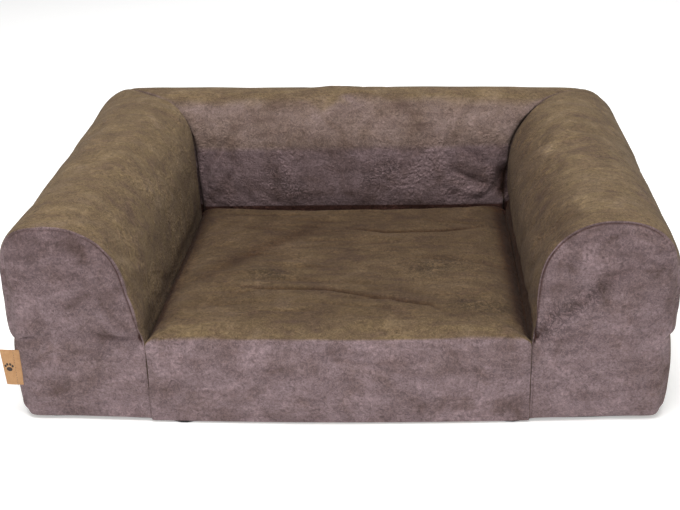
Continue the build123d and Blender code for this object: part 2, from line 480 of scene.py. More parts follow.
    def fill(self, obj: Object) -> None:
        """Let the cloth fill like a pillow case, held at its seams, and keep the shape that it takes.

        Args:
            obj: the form's object.
        """
        rest = coordinates(obj)
        group = obj.vertex_groups.new(name="held")
        held = self.held(rest)
        held[self.seam_points] = 1.0
        for i in np.nonzero(held > 0.01)[0]:
            group.add([int(i)], float(held[i]), "REPLACE")
        cloth = obj.modifiers.new("cloth", "CLOTH")
        settings, filling = cloth.settings, self.filling
        settings.vertex_group_mass = group.name
        settings.use_pressure = True
        settings.uniform_pressure_force = filling.pressure
        settings.tension_stiffness = filling.stretch_stiffness
        settings.compression_stiffness = filling.stretch_stiffness
        settings.shear_stiffness = filling.shear_stiffness
        settings.bending_stiffness = filling.bending_stiffness
        settings.shrink_min = -filling.slack
        settings.effector_weights.gravity = 0.0
        cloth.collision_settings.use_collision = False
        scene = bpy.context.scene
        for number in range(1, filling.frames + 1):
            scene.frame_set(number)
        shaped = obj.evaluated_get(bpy.context.evaluated_depsgraph_get())
        moved = coordinates(shaped) - rest
        far = np.linalg.norm(moved, axis=1, keepdims=True)
        LOG.info("%s filled out by at most %.1f mm", self.name, far.max() * 1000)
        obj.modifiers.remove(cloth)
        obj.vertex_groups.remove(group)
        kept = self.pillow * np.tanh(far / self.pillow)
        set_coordinates(obj, rest + moved * kept / np.maximum(far, 1e-9))
        scene.frame_set(1)


def quadratic(keys: Sequence[Array], share: float) -> Array:
    """Pass smoothly through three arrays at the shares 0, one half and 1."""
    first = 2 * (share - 0.5) * (share - 1)
    last = 2 * share * (share - 0.5)
    return first * keys[0] + 4 * share * (1 - share) * keys[1] + last * keys[2]


def inward(ring: Array) -> Array:
    """Find each point's inward direction in a closed outline.

    Args:
        ring: the outline's points, in order.

    Returns:
        A unit vector for each point.
    """
    along = np.roll(ring, -1, axis=0) - np.roll(ring, 1, axis=0)
    along /= np.maximum(np.linalg.norm(along, axis=1, keepdims=True), 1e-9)
    area = np.sum(ring[:, 0] * np.roll(ring[:, 1], -1) - np.roll(ring[:, 0], -1) * ring[:, 1])
    turn = np.stack([-along[:, 1], along[:, 0]], axis=1)
    return turn if area > 0 else -turn


def even_out(values: Array, passes: int = 6) -> Array:
    """Smooth values round a closed outline."""
    for _ in range(passes):
        values = (np.roll(values, 1) + 2 * values + np.roll(values, -1)) / 4
    return values


def coordinates(obj: Object) -> Array:
    """Return the places of an object's points."""
    flat = np.zeros(len(obj.data.vertices) * 3)
    obj.data.vertices.foreach_get("co", flat)
    return flat.reshape(-1, 3)


def set_coordinates(obj: Object, points: Array) -> None:
    """Move an object's points to these places."""
    obj.data.vertices.foreach_set("co", points.astype(np.float32).ravel())
    obj.data.update()


def normals(obj: Object) -> Array:
    """Return the smooth normal at each point."""
    flat = np.zeros(len(obj.data.vertices) * 3)
    obj.data.vertex_normals.foreach_get("vector", flat)
    return flat.reshape(-1, 3)


def new_object(name: str, data: bpy.types.ID) -> Object:
    """Put a mesh, a lamp or a camera in the scene."""
    obj = bpy.data.objects.new(name, data)
    bpy.context.scene.collection.objects.link(obj)
    return obj


def new_mesh(name: str, points: list, edges: list, faces: list) -> bpy.types.Mesh:
    """Make a mesh from its points, edges and faces."""
    mesh = bpy.data.meshes.new(name)
    mesh.from_pydata(points, edges, faces)
    return mesh


def turn_outward(obj: Object) -> None:
    """Merge doubled points and turn every face outward."""
    work = bmesh.new()
    work.from_mesh(obj.data)
    bmesh.ops.remove_doubles(work, verts=work.verts, dist=1e-7)
    bmesh.ops.recalc_face_normals(work, faces=work.faces)
    work.to_mesh(obj.data)
    work.free()


def finished_mesh(obj: Object) -> Object:
    """Turn an object with its modifiers into a plain, smooth mesh.

    Args:
        obj: the object, whose modifiers are applied and removed.

    Returns:
        The same object.
    """
    shaped = obj.evaluated_get(bpy.context.evaluated_depsgraph_get())
    mesh = bpy.data.meshes.new_from_object(shaped)
    obj.modifiers.clear()
    old = obj.data
    obj.data = mesh
    mesh.name = obj.name
    bpy.data.meshes.remove(old)
    return obj


def subdivide(obj: Object) -> None:
    """Smooth an object by one subdivision."""
    modifier = obj.modifiers.new("smooth", "SUBSURF")
    modifier.levels = 1
    modifier.render_levels = 1
    finished_mesh(obj)
    obj.data.shade_smooth()


def ease_edges(obj: Object, width: float, angle: float) -> None:
    """Round the edges of an object that are sharper than an angle in degrees."""
    bevel = obj.modifiers.new("eased", "BEVEL")
    bevel.width = width
    bevel.segments = 2
    bevel.limit_method = "ANGLE"
    bevel.angle_limit = math.radians(angle)
    finished_mesh(obj)
    obj.data.shade_smooth()


def unevenness(points: Array, size: float, stretch: Sequence[float], seed: int) -> Array:
    """Give each point a smooth random value.

    Args:
        points: the places.
        size: size of the lumps.
        stretch: how much longer the lumps are along each axis.
        seed: picks the pattern.

    Returns:
        Values from about -1 to 1.
    """
    scaled = points / (size * np.array(stretch)) + np.array([seed * 7.3, seed * 3.1, seed * 5.7])
    return np.array([noise.noise(Vector(p)) for p in scaled])


def attribute(obj: Object, name: str, values: Array) -> None:
    """Store one value for each point of a mesh."""
    layer = obj.data.attributes.new(name, "FLOAT", "POINT")
    layer.data.foreach_set("value", values.astype(np.float32))


# Shader node groups and finishes


class Graph:
    """Adds nodes to a tree and joins their sockets."""

    def __init__(self, tree: bpy.types.NodeTree) -> None:
        """Start an empty tree."""
        self.tree = tree
        tree.nodes.clear()

    def add(self, kind: str, inputs: dict | None = None, **settings: object) -> bpy.types.Node:
        """Add a node.

        Args:
            kind: the node's type.
            inputs: a value or another node's socket for each named or numbered input.
            settings: values for the node's own properties.

        Returns:
            The node.
        """
        node = self.tree.nodes.new(kind)
        for name, value in settings.items():
            setattr(node, name, value)
        for key, value in (inputs or {}).items():
            socket = node.inputs[key]
            if isinstance(value, Socket):
                self.tree.links.new(value, socket)
            else:
                socket.default_value = value
        return node

    def maths(self, operation: str, first: object, second: object = 0.0,
              clamp: bool = False) -> Socket:
        """Add a Math node and return its result."""
        node = self.add("ShaderNodeMath", {0: first, 1: second}, operation=operation, use_clamp=clamp)
        return node.outputs[0]

    def spread(self, value: object, low: float, high: float, to_low: float = 0.0,
               to_high: float = 1.0) -> Socket:
        """Map a value from one range to another, held at both ends."""
        node = self.add("ShaderNodeMapRange", {0: value, 1: low, 2: high, 3: to_low, 4: to_high})
        return node.outputs[0]

    def mix(self, share: object, first: object, second: object, blend: str = "MIX") -> Socket:
        """Mix two colours and return the result."""
        node = self.add("ShaderNodeMix", {0: share, 6: first, 7: second}, data_type="RGBA", blend_type=blend)
        return node.outputs[2]

    def total(self, *parts: tuple[Socket, float]) -> Socket:
        """Add up values, each times its own weight."""
        weighted = [self.maths("MULTIPLY", value, weight) for value, weight in parts]
        return functools.reduce(lambda first, second: self.maths("ADD", first, second), weighted)


def shader_group(name: str, inputs: dict[str, float]) -> tuple[Graph, bpy.types.Node]:
    """Start a shader node group.

    Args:
        name: the group's name.
        inputs: the default of each input.

    Returns:
        The group's graph and its input node.
    """
    tree = bpy.data.node_groups.new(name, "ShaderNodeTree")
    for label, default in inputs.items():
        socket = tree.interface.new_socket(label, in_out="INPUT", socket_type="NodeSocketFloat")
        socket.default_value = default
    graph = Graph(tree)
    return graph, graph.add("NodeGroupInput")


def end_group(graph: Graph, values: dict[str, Socket]) -> bpy.types.NodeTree:
    """Give a group its outputs, join these values to them and return the group."""
    for name in values:
        graph.tree.interface.new_socket(name, in_out="OUTPUT", socket_type="NodeSocketFloat")
    graph.add("NodeGroupOutput", values)
    return graph.tree


def brushed_nap_group() -> bpy.types.NodeTree:
    """Build the group for a brushed suede cloth: blotches, hand strokes, crinkled patches and fine grain.

    Returns:
        The group, which puts out masks for blotches and strokes, values for grain, fibre and crinkles,
        and a height.
    """
    graph, source = shader_group("brushed nap", {"Blotch size": 0.045, "Grain size": 0.0016,
                                                 "Crinkle size": 0.0042, "Stroke size": 0.012})
    place = graph.add("ShaderNodeTexCoord").outputs["Object"]

    def lumps(size: object, detail: float, rough: float, warp: float = 0.0,
              at: Socket = place) -> Socket:
        """Add noise whose lumps are that large."""
        scale = graph.maths("DIVIDE", 1.0, size)
        node = graph.add("ShaderNodeTexNoise", {"Vector": at, "Scale": scale, "Detail": detail,
                                                "Roughness": rough, "Distortion": warp})
        return node.outputs[0]

    blotch = lumps(source.outputs["Blotch size"], 5.0, 0.62, 0.6)
    long_way = graph.add("ShaderNodeMapping", {"Vector": place, "Scale": (0.22, 1.0, 0.8),
                                               "Rotation": (0.0, 0.0, 0.06)}).outputs[0]
    stroke = lumps(source.outputs["Stroke size"], 4.0, 0.6, 0.4, long_way)
    grain = lumps(source.outputs["Grain size"], 3.0, 0.65)
    warp_noise = graph.add("ShaderNodeTexNoise", {"Vector": place, "Scale": 160.0, "Detail": 2.0})
    warp = {0: warp_noise.outputs["Color"], 1: (0.004, 0.004, 0.004), 2: place}
    warped = graph.add("ShaderNodeVectorMath", warp, operation="MULTIPLY_ADD")
    cell_scale = graph.maths("DIVIDE", 1.0, source.outputs["Crinkle size"])
    cells = graph.add("ShaderNodeTexVoronoi", {"Vector": warped.outputs[0], "Scale": cell_scale},
                      feature="SMOOTH_F1")
    patches = graph.spread(lumps(0.05, 3.0, 0.5, 0.8), 0.5, 0.62)
    crinkle = graph.maths("MULTIPLY", graph.spread(cells.outputs["Distance"], 0.15, 0.75, 1.0, 0.0),
                          graph.spread(patches, 0.0, 1.0, 0.22, 1.0))
    bands = graph.maths("SUBTRACT", lumps(0.0085, 2.5, 0.55, 1.2), 0.5)
    worms = graph.spread(graph.maths("ABSOLUTE", bands), 0.0, 0.09)
    fibre = graph.spread(lumps(0.0065, 4.0, 0.74, 1.8), 0.32, 0.68)
    fibre = graph.total((fibre, 0.62), (crinkle, 0.38))
    height = graph.total((crinkle, 0.50), (grain, 0.40), (stroke, 0.25), (fibre, 0.35))
    return end_group(graph, {"Blotch": blotch, "Stroke": stroke, "Grain": grain, "Fibre": fibre,
                             "Crinkle": worms, "Height": height})


def woven_group() -> bpy.types.NodeTree:
    """Build the group for a plain weave, whose threads run along X and Z.

    Returns:
        The group, which puts out a shade value and a height.
    """
    graph, source = shader_group("plain weave", {"Thread size": 0.0007})
    place = graph.add("ShaderNodeTexCoord").outputs["Object"]
    split = graph.add("ShaderNodeSeparateXYZ", {0: place})
    turns = graph.maths("DIVIDE", math.pi, source.outputs["Thread size"])
    runs = split.outputs["X"], graph.maths("ADD", split.outputs["Z"], split.outputs["Y"])
    waves = [graph.maths("SINE", graph.maths("MULTIPLY", run, turns)) for run in runs]
    height = graph.spread(graph.maths("MULTIPLY", *waves), -1.0, 1.0)
    fuzz = graph.add("ShaderNodeTexNoise", {"Vector": place, "Scale": 900.0, "Detail": 2.0}).outputs[0]
    shade = graph.total((height, 0.6), (fuzz, 0.4))
    return end_group(graph, {"Shade": shade, "Height": height})


def rgba(colour: Colour) -> tuple[float, float, float, float]:
    """Add a full alpha to a colour."""
    return (*colour, 1.0)


def new_material(name: str) -> tuple[bpy.types.Material, Graph]:
    """Start a node material and return it with its graph."""
    material = bpy.data.materials.new(name)
    material.use_nodes = True
    return material, Graph(material.node_tree)


def surface(graph: Graph, inputs: dict, height: Socket | None = None, depth: float = 0.0,
            strength: float = 1.0) -> None:
    """Finish a material with a Principled shader, a bump and the output.

    Args:
        graph: the material's graph.
        inputs: values or sockets for the shader's inputs.
        height: the height that the bump follows.
        depth: the bump's depth.
        strength: the bump's strength.
    """
    shader = graph.add("ShaderNodeBsdfPrincipled", inputs)
    if height is not None:
        bump = graph.add("ShaderNodeBump", {"Height": height, "Distance": depth, "Strength": strength})
        graph.tree.links.new(bump.outputs[0], shader.inputs["Normal"])
    graph.add("ShaderNodeOutputMaterial", {0: shader.outputs[0]})


@dataclass(frozen=True)
class SuedeFinish:
    """Brushed suede cloth: olive brown along the nap and mauve grey against it; the mauve on cloth facing
    the front is partly the nap's lie and partly painted sheen.
    """

    olive: Colour = (0.181, 0.127, 0.065)
    mauve: Colour = (0.254, 0.185, 0.195)
    dusk: Colour = (0.080, 0.048, 0.042)
    shadow: Colour = (0.23, 0.135, 0.100)

    def material(self, nap: bpy.types.NodeTree) -> bpy.types.Material:
        """Build the cloth's material.

        Args:
            nap: the brushed nap group.

        Returns:
            The material, which reads the nap attribute, the attribute that holds painted shade and the
            rubbed attribute.
        """
        material, graph = new_material("suede_cloth")
        pile = graph.add("ShaderNodeGroup", node_tree=nap)
        against, painted_shade, rubbed = (graph.add("ShaderNodeAttribute", attribute_name=name).outputs["Fac"]
                                   for name in ("nap", "painted_shade", "rubbed"))
        blotch, stroke, grain, fibre, crinkle, height = pile.outputs
        # Mauve where the nap attribute marks front-facing cloth: partly the nap's lie, partly painted sheen.
        wander = graph.spread(blotch, 0.3, 0.7, -0.14, 0.14)
        share = graph.maths("ADD", against, wander, clamp=True)
        colour = graph.mix(share, rgba(self.olive), rgba(self.mauve))
        dark = graph.maths("ADD", graph.spread(blotch, 0.34, 0.62, 0.42, 0.0),
                           graph.spread(stroke, 0.35, 0.60, 0.30, 0.0), clamp=True)
        colour = graph.mix(dark, colour, rgba(self.dusk))
        speckle = graph.maths("MULTIPLY", graph.spread(grain, 0.3, 0.7, 0.78, 1.24),
                              graph.spread(fibre, 0.10, 0.80, 0.60, 1.32))
        ridges = graph.maths("MULTIPLY", rubbed, graph.spread(crinkle, 0.0, 1.0, -0.46, 0.16))
        speckle = graph.maths("MULTIPLY", speckle, graph.maths("ADD", ridges, 1.0))
        scaled = graph.add("ShaderNodeVectorMath", {0: colour, "Scale": speckle}, operation="SCALE")
        colour = scaled.outputs[0]
        # Painted shade: multiply toward the shadow colour in seams, folds, crevices and shaded walls.
        colour = graph.mix(painted_shade, colour, rgba(self.shadow), "MULTIPLY")
        rough = graph.spread(blotch, 0.3, 0.7, 0.98, 0.84)
        values = {"Base Color": colour, "Roughness": rough, "Specular IOR Level": 0.12, "Sheen Weight": 0.06,
                  "Sheen Roughness": 0.45, "Sheen Tint": (0.80, 0.68, 0.62, 1.0)}
        raised = graph.maths("MULTIPLY", graph.maths("MULTIPLY", rubbed, crinkle), 0.35)
        surface(graph, values, graph.maths("ADD", height, raised), 0.0030, 1.0)
        return material


@dataclass(frozen=True)
class WovenFinish:
    """A woven cloth or tape."""

    name: str
    light: Colour
    dark: Colour
    thread: float
    depth: float
    roughness: float = 0.85

    def material(self, weave: bpy.types.NodeTree) -> bpy.types.Material:
        """Build the cloth's material from the plain weave group."""
        material, graph = new_material(self.name)
        cloth = graph.add("ShaderNodeGroup", {"Thread size": self.thread}, node_tree=weave)
        colour = graph.mix(cloth.outputs["Shade"], rgba(self.dark), rgba(self.light))
        rough = graph.spread(cloth.outputs["Shade"], 0.0, 1.0, self.roughness + 0.08, self.roughness - 0.05)
        surface(graph, {"Base Color": colour, "Roughness": rough, "Specular IOR Level": 0.25},
                cloth.outputs["Height"], self.depth, 0.7)
        return material


@dataclass(frozen=True)
class SpeckledFinish:
    """A smooth or grained solid: board, nylon, rubber, ink, thread or metal."""

    name: str
    light: Colour
    dark: Colour
    speck: float
    roughness: float
    metallic: float = 0.0
    depth: float = 0.0001
    stretch: tuple[float, float, float] = (1.0, 1.0, 1.0)

    def material(self) -> bpy.types.Material:
        """Build the solid's material from two scales of noise."""
        material, graph = new_material(self.name)
        place = graph.add("ShaderNodeTexCoord").outputs["Object"]
        placed = graph.add("ShaderNodeMapping", {"Vector": place, "Scale": self.stretch}).outputs[0]
        coarse, fine = (graph.add("ShaderNodeTexNoise", {"Vector": placed, "Scale": share / self.speck,
                                                         "Detail": detail}).outputs[0]
                        for share, detail in ((0.2, 4.0), (1.0, 2.0)))
        both = graph.total((coarse, 0.5), (fine, 0.5))
        colour = graph.mix(graph.spread(both, 0.35, 0.65), rgba(self.dark), rgba(self.light))
        rough = graph.spread(both, 0.3, 0.7, self.roughness + 0.08, self.roughness - 0.08)
        values = {"Base Color": colour, "Roughness": rough, "Metallic": self.metallic}
        surface(graph, values, both, self.depth, 0.6)
        return material


class Finishes:
    """Every material on the bed, built once."""

    def __init__(self) -> None:
        """Build the shared groups and then the materials."""
        weave = woven_group()
        self.suede = SuedeFinish().material(brushed_nap_group())
        self.underside = WovenFinish("non_slip_cloth", (0.020, 0.019, 0.020), (0.006, 0.006, 0.006),
                                     0.0011, 0.0003).material(weave)
        self.tape = WovenFinish("zip_tape", (0.070, 0.054, 0.046), (0.026, 0.020, 0.018),
                                0.0007, 0.0002).material(weave)
        self.coil = SpeckledFinish("zip_coil", (0.085, 0.066, 0.056), (0.050, 0.038, 0.032),
                                   0.0008, 0.42).material()
        self.metal = SpeckledFinish("zip_metal", (0.34, 0.31, 0.27), (0.20, 0.18, 0.155),
                                    0.0012, 0.34, 1.0, 0.00004, (1.0, 1.0, 0.25)).material()
        self.board = SpeckledFinish("label_board", (0.470, 0.265, 0.125), (0.370, 0.195, 0.085),
                                    0.0009, 0.82, depth=0.00012).material()
        self.ink = SpeckledFinish("label_ink", (0.034, 0.022, 0.016), (0.020, 0.013, 0.010),
                                  0.0006, 0.7).material()
        self.thread = SpeckledFinish("sewing_thread", (0.150, 0.112, 0.082), (0.092, 0.066, 0.048),
                                     0.0004, 0.7, stretch=(0.3, 1.0, 1.0)).material()
        self.rubber = SpeckledFinish("grip_dots", (0.030, 0.030, 0.031), (0.016, 0.016, 0.017),
                                     0.0015, 0.6).material()


# Geometry Nodes


class NodesTool:
    """A Geometry Nodes tree with named inputs, which makes one plain mesh."""

    def __init__(self, name: str, inputs: Sequence[tuple[str, str]]) -> None:
        """Start a tree whose first socket is the geometry.

        Args:
            name: the tree's name.
            inputs: name and socket type of each input after the geometry.
        """
        self.tree = bpy.data.node_groups.new(name, "GeometryNodeTree")
        face = self.tree.interface
        face.new_socket("Geometry", in_out="INPUT", socket_type="NodeSocketGeometry")
        self.sockets = {label: face.new_socket(label, in_out="INPUT", socket_type=kind).identifier
                        for label, kind in inputs}
        face.new_socket("Geometry", in_out="OUTPUT", socket_type="NodeSocketGeometry")
        self.graph = Graph(self.tree)
        self.source = self.graph.add("NodeGroupInput")

    def end(self, geometry: Socket) -> None:
        """Realize the instances, set the material and send the geometry out."""
        real = self.graph.add("GeometryNodeRealizeInstances", {0: geometry}).outputs[0]
        dressed = self.graph.add("GeometryNodeSetMaterial",
                                 {"Geometry": real, "Material": self.source.outputs["Material"]}).outputs[0]
        self.graph.add("NodeGroupOutput", {0: dressed})

    def make(self, name: str, mesh: bpy.types.Mesh, values: dict[str, object]) -> Object:
        """Run the tree on a mesh.

        Args:
            name: the new piece's name.
            mesh: the points or edges that the tree follows.
            values: a value for each named input.

        Returns:
            A plain mesh object with no modifier.
        """
        obj = new_object(name, mesh)
        modifier = obj.modifiers.new(name, "NODES")
        modifier.node_group = self.tree
        for label, value in values.items():
            modifier[self.sockets[label]] = value
        finished_mesh(obj)
        obj.data.shade_smooth()
        return obj


def stitch_tool() -> NodesTool:
    """Build the tree that sets stitches along edges.

    Returns:
        The tool, whose pitch, length and thickness are in metres.
    """
    tool = NodesTool("stitches", [("Pitch", "NodeSocketFloat"), ("Length", "NodeSocketFloat"),
                                  ("Thickness", "NodeSocketFloat"), ("Seed", "NodeSocketInt"),
                                  ("Material", "NodeSocketMaterial")])
    graph, source = tool.graph, tool.source
    curve = graph.add("GeometryNodeMeshToCurve", {0: source.outputs["Geometry"]}).outputs[0]
    spacing = {0: curve, "Length": source.outputs["Pitch"]}
    spaced = graph.add("GeometryNodeCurveToPoints", spacing, mode="LENGTH")
    ball = graph.add("GeometryNodeMeshUVSphere", {"Segments": 8, "Rings": 5, "Radius": 0.5}).outputs[0]
    thickness, length = source.outputs["Thickness"], source.outputs["Length"]
    size = graph.add("ShaderNodeCombineXYZ", {"X": thickness, "Y": thickness, "Z": length}).outputs[0]
    stitch = graph.add("GeometryNodeTransform", {"Geometry": ball, "Scale": size}).outputs[0]
    tilt = graph.add("FunctionNodeRandomValue", {0: (-0.08, -0.08, 0.0), 1: (0.08, 0.08, 0.0),
                                                 "Seed": source.outputs["Seed"]}, data_type="FLOAT_VECTOR")
    points, turns = spaced.outputs["Points"], spaced.outputs["Rotation"]
    placed = graph.add("GeometryNodeInstanceOnPoints", {"Points": points, "Instance": stitch,
                                                        "Rotation": turns}).outputs[0]
    turned = graph.add("GeometryNodeRotateInstances", {0: placed, "Rotation": tilt.outputs[0]}).outputs[0]
    tool.end(turned)
    return tool


def coil_tool() -> NodesTool:
    """Build the tree that winds a zip's coil along X, starting at the origin.

    Returns:
        The tool, whose length, width, height and wire are in metres.
    """
    tool = NodesTool("zip coil", [("Turns", "NodeSocketFloat"), ("Length", "NodeSocketFloat"),
                                  ("Width", "NodeSocketFloat"), ("Height", "NodeSocketFloat"),
                                  ("Wire", "NodeSocketFloat"), ("Material", "NodeSocketMaterial")])
    graph, source = tool.graph, tool.source
    helix = graph.add("GeometryNodeCurveSpiral", {"Resolution": 10, "Rotations": source.outputs["Turns"],
                                                  "Start Radius": 0.5, "End Radius": 0.5,
                                                  "Height": source.outputs["Length"]}).outputs[0]
    squeeze = graph.add("ShaderNodeCombineXYZ", {"X": source.outputs["Width"], "Y": source.outputs["Height"],
                                                 "Z": 1.0}).outputs[0]
    flat = graph.add("GeometryNodeTransform", {"Geometry": helix, "Scale": squeeze}).outputs[0]
    turn = (0.0, math.pi / 2, 0.0)
    laid = graph.add("GeometryNodeTransform", {"Geometry": flat, "Rotation": turn}).outputs[0]
    ring = graph.add("GeometryNodeCurvePrimitiveCircle", {"Resolution": 5, "Radius": source.outputs["Wire"]},
                     mode="RADIUS").outputs[0]
    wire = graph.add("GeometryNodeCurveToMesh", {"Curve": laid, "Profile Curve": ring, "Fill Caps": True})
    tool.end(wire.outputs[0])
    return tool


def dot_tool() -> NodesTool:
    """Build the tree that sets a rubber dot on each point.

    Returns:
        The tool, whose radius and height are in metres.
    """
    tool = NodesTool("grip dots", [("Radius", "NodeSocketFloat"), ("Height", "NodeSocketFloat"),
                                   ("Material", "NodeSocketMaterial")])
    graph, source = tool.graph, tool.source
    ball = graph.add("GeometryNodeMeshUVSphere", {"Segments": 8, "Rings": 4, "Radius": 1.0}).outputs[0]
    size = graph.add("ShaderNodeCombineXYZ", {"X": source.outputs["Radius"], "Y": source.outputs["Radius"],
                                              "Z": source.outputs["Height"]}).outputs[0]
    dot = graph.add("GeometryNodeTransform", {"Geometry": ball, "Scale": size}).outputs[0]
    placed = graph.add("GeometryNodeInstanceOnPoints", {"Points": source.outputs["Geometry"],
                                                        "Instance": dot}).outputs[0]
    tool.end(placed)
    return tool


def edge_mesh(name: str, lines: Sequence[Sequence[Place]]) -> bpy.types.Mesh:
    """Make a mesh of edges that follow lines of points."""
    points, edges = [], []
    for line in lines:
        first = len(points)
        points += line
        edges += [(first + i, first + i + 1) for i in range(len(line) - 1)]
    return new_mesh(name, points, edges, [])


# Plan of the bed


@dataclass(frozen=True)
class Plan:
    """The bed's outline seen from above, whose four corners are rounded.

    Attributes:
        sizes: the bed's shared places.
        rear_radius: radius of the bolster's two rear corners.
        base_radius: radius of the base's two rear corners.
        front_radius: radius of the two front corners.
        bow: how far the middle of the front stands forward.
    """

    sizes: BedSizes
    rear_radius: float = 0.062
    base_radius: float = 0.018
    front_radius: float = 0.022
    bow: float = 0.010

    def shape(self, points: Array, arm_reach: float, base_reach: float) -> Array:
        """Round the corners of a piece in plan and bow its front.

        Args:
            points: the piece's places.
            arm_reach: how far from the middle the arm stands at its front.
            base_reach: how far the base stands there.

        Returns:
            The new places.
        """
        sizes = self.sizes
        above = smoothstep(sizes.deck - 0.006, sizes.deck + 0.010, points[:, 2])
        side = np.sign(points[:, 0])
        shaped = points.copy()
        rear_side = sizes.base_half + (sizes.half_width - sizes.base_half) * above
        rear_end = sizes.base_rear + (sizes.rear - sizes.base_rear) * above
        front_side = base_reach + (arm_reach - base_reach) * above
        rear_radius = self.base_radius + (self.rear_radius - self.base_radius) * above
        for radius, reach, end, way in ((rear_radius, rear_side, rear_end, 1.0),
                                        (self.front_radius, front_side, -sizes.front, -1.0)):
            out = np.abs(shaped[:, 0]) - (reach - radius)
            far = way * shaped[:, 1] - (end - radius)
            inside = (out > 0) & (far > 0)
            length = np.hypot(out, far)
            size = np.maximum(out, far) / np.maximum(length, 1e-9)
            shaped[:, 0] = np.where(inside, side * (reach - radius + out * size), shaped[:, 0])
            shaped[:, 1] = np.where(inside, way * (end - radius + far * size), shaped[:, 1])
        near_front = 1 - smoothstep(sizes.front, sizes.front + 0.12, points[:, 1])
        inner = np.clip(1 - (points[:, 0] / (0.8 * sizes.half_width)) ** 2, 0, 1)
        low = 1 - smoothstep(sizes.seat_top - 0.02, sizes.seat_top + 0.12, points[:, 2])
        shaped[:, 1] -= self.bow * near_front * inner * (0.35 + 0.65 * low)
        return shaped


# Padded sub-assemblies


ARM_LINES = (8, 24, 4, 12, 1, 10, 15)
CAP_ENDS = (0, 2, 3, 6)


def bolster_outline(lean: float, top: float, inner_radius: float, outer: float, outer_radius: float,
                    outer_foot: float, waist: float, hem: float, sizes: BedSizes,
                    lip_radius: float = 0.009, drop: float = 0.0) -> Outline:
    """Draw the outline of a bolster with the part of the base under it.

    Args:
        lean: how far the inner wall has leaned back at the top.
        top: height of the crown.
        inner_radius: radius of the crown's inner shoulder.
        outer: how far out the outer wall stands at the crown.
        outer_radius: radius of the outer shoulder.
        outer_foot: how far out the outer wall stands at its foot.
        waist: how far out the base stands at the waist seam.
        hem: how far out the base stands at the floor.
        sizes: the bed's shared places.
        lip_radius: radius of the rounded foot of the outer wall.
        drop: how much lower the crown is at its outer shoulder.

    Returns:
        The outline.
    """
    floor = sizes.floor_cloth + 0.001
    corners = (
        Corner(0.0, floor, 0.002, 2),
        Corner(0.0, sizes.deck - 0.006, 0.020, 1),
        Corner(lean, top, inner_radius, 8),
        Corner(outer, top - drop, outer_radius, 8),
        Corner(outer_foot, sizes.deck + 0.003, lip_radius, 3),
        Corner(waist, sizes.deck - 0.002, 0.003, 2),
        Corner(hem, floor, 0.017, 3),
    )
    return Outline(corners, ARM_LINES)


@dataclass
class Bolster:
    """What the arms, the backrest and the seat share: dressing, folds, the cloth's nap with its painted
    sheen, and painted shade.

    Attributes:
        sizes: the bed's shared places.
        plan: how its corners round off, seen from above.
        finishes: its materials.
        lump_height: height of the soft lumps.
        lump_size: their size.
        fine_lump_size: size of the finer lumps on them.
        fine_lump_share: height of the finer lumps, as a share of the others.
    """

    sizes: BedSizes
    plan: Plan
    finishes: Finishes
    lump_height: float = 0.0016
    lump_size: float = 0.075
    fine_lump_size: float = 0.026
    fine_lump_share: float = 0.35

    def edges(self, outline: Outline, low: float, inner: float, crown: float, outer: float) -> Array:
        """Give the radius of a cap's edge at each point of the outline.

        Args:
            outline: the outline.
            low: the radius up the inner wall as far as the seat.
            inner: the radius from there up the inner wall.
            crown: the radius over the crown.
            outer: the radius down the outer wall and along the floor.

        Returns:
            One radius for each point.
        """
        starts = outline.sides(range(len(outline.corners)))
        values = np.zeros(starts[-1])
        for i, radius in enumerate((low, inner, crown, outer, outer, outer, outer)):
            values[starts[i]:starts[i + 1]] = radius
        return even_out(values)

    def painted_shade_level(self, points: Array, out: Array) -> Array:
        """Say how much painted shade each point gets, 0 to 1."""
        return np.zeros(len(points))

    def nap(self, points: Array, out: Array) -> Array:
        """Say how far the nap is brushed against the view from the front, 0 to 1; this mauve share by facing
        is partly the nap and partly painted sheen.
        """
        return smoothstep(0.24, 0.58, -out[:, 1])

    def rubbed(self) -> list[Fold]:
        """Return the lines along which the nap is rubbed into fine crinkles."""
        return []

    def dress(self, obj: Object, folds: Sequence[Fold], seed: int) -> None:
        """Smooth a padded form, give it folds and lumps, mark the lie of its nap with its painted sheen, and
        paint its shade.

        Args:
            obj: the padded form.
            folds: its folds.
            seed: picks the lumps.
        """
        subdivide(obj)
        points, out = coordinates(obj), normals(obj)
        rise = self.lump_height * unevenness(points, self.lump_size, (1.6, 1.6, 1.0), seed)
        fine = unevenness(points, self.fine_lump_size, (1.5, 1.5, 1.0), seed + 1)
        rise += self.fine_lump_share * self.lump_height * fine
        shade = np.zeros(len(points))
        for fold in folds:
            strength = fold.strength(points, out)
            rise += fold.height * strength
            shade += fold.shade * strength
        hidden = 1 - smoothstep(0.004, 0.020, points[:, 2])
        set_coordinates(obj, points + out * (rise * (1 - hidden))[:, None])
        points, out = coordinates(obj), normals(obj)
        attribute(obj, "nap", self.nap(points, out))
        rubbed = sum((line.strength(points, out) for line in self.rubbed()), np.zeros(len(points)))
        attribute(obj, "rubbed", np.clip(rubbed, 0, 1))
        # Sum the painted shade of the seams, of the folds and of the walls, crevices and seat into one
        # attribute.
        layer = obj.data.attributes["painted_shade"]
        seam = np.zeros(len(points))
        layer.data.foreach_get("value", seam)
        painted_shade = np.clip(seam + shade + self.painted_shade_level(points, out), 0, 1)
        layer.data.foreach_set("value", painted_shade.astype(np.float32))
        obj.data.materials.clear()
        obj.data.materials.append(self.finishes.suede)
        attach(obj, BED)


@dataclass(frozen=True)
class ArmShading:
    """How much painted shade an arm gets on its inner wall and in its crevice, and how much its front facing
    darkens toward its top.
    """

    wall: float
    crevice: float
    facing: float


ARM_SHADING = {Side.LEFT: ArmShading(0.0, 0.45, 0.32), Side.RIGHT: ArmShading(0.56, 1.0, 0.16)}


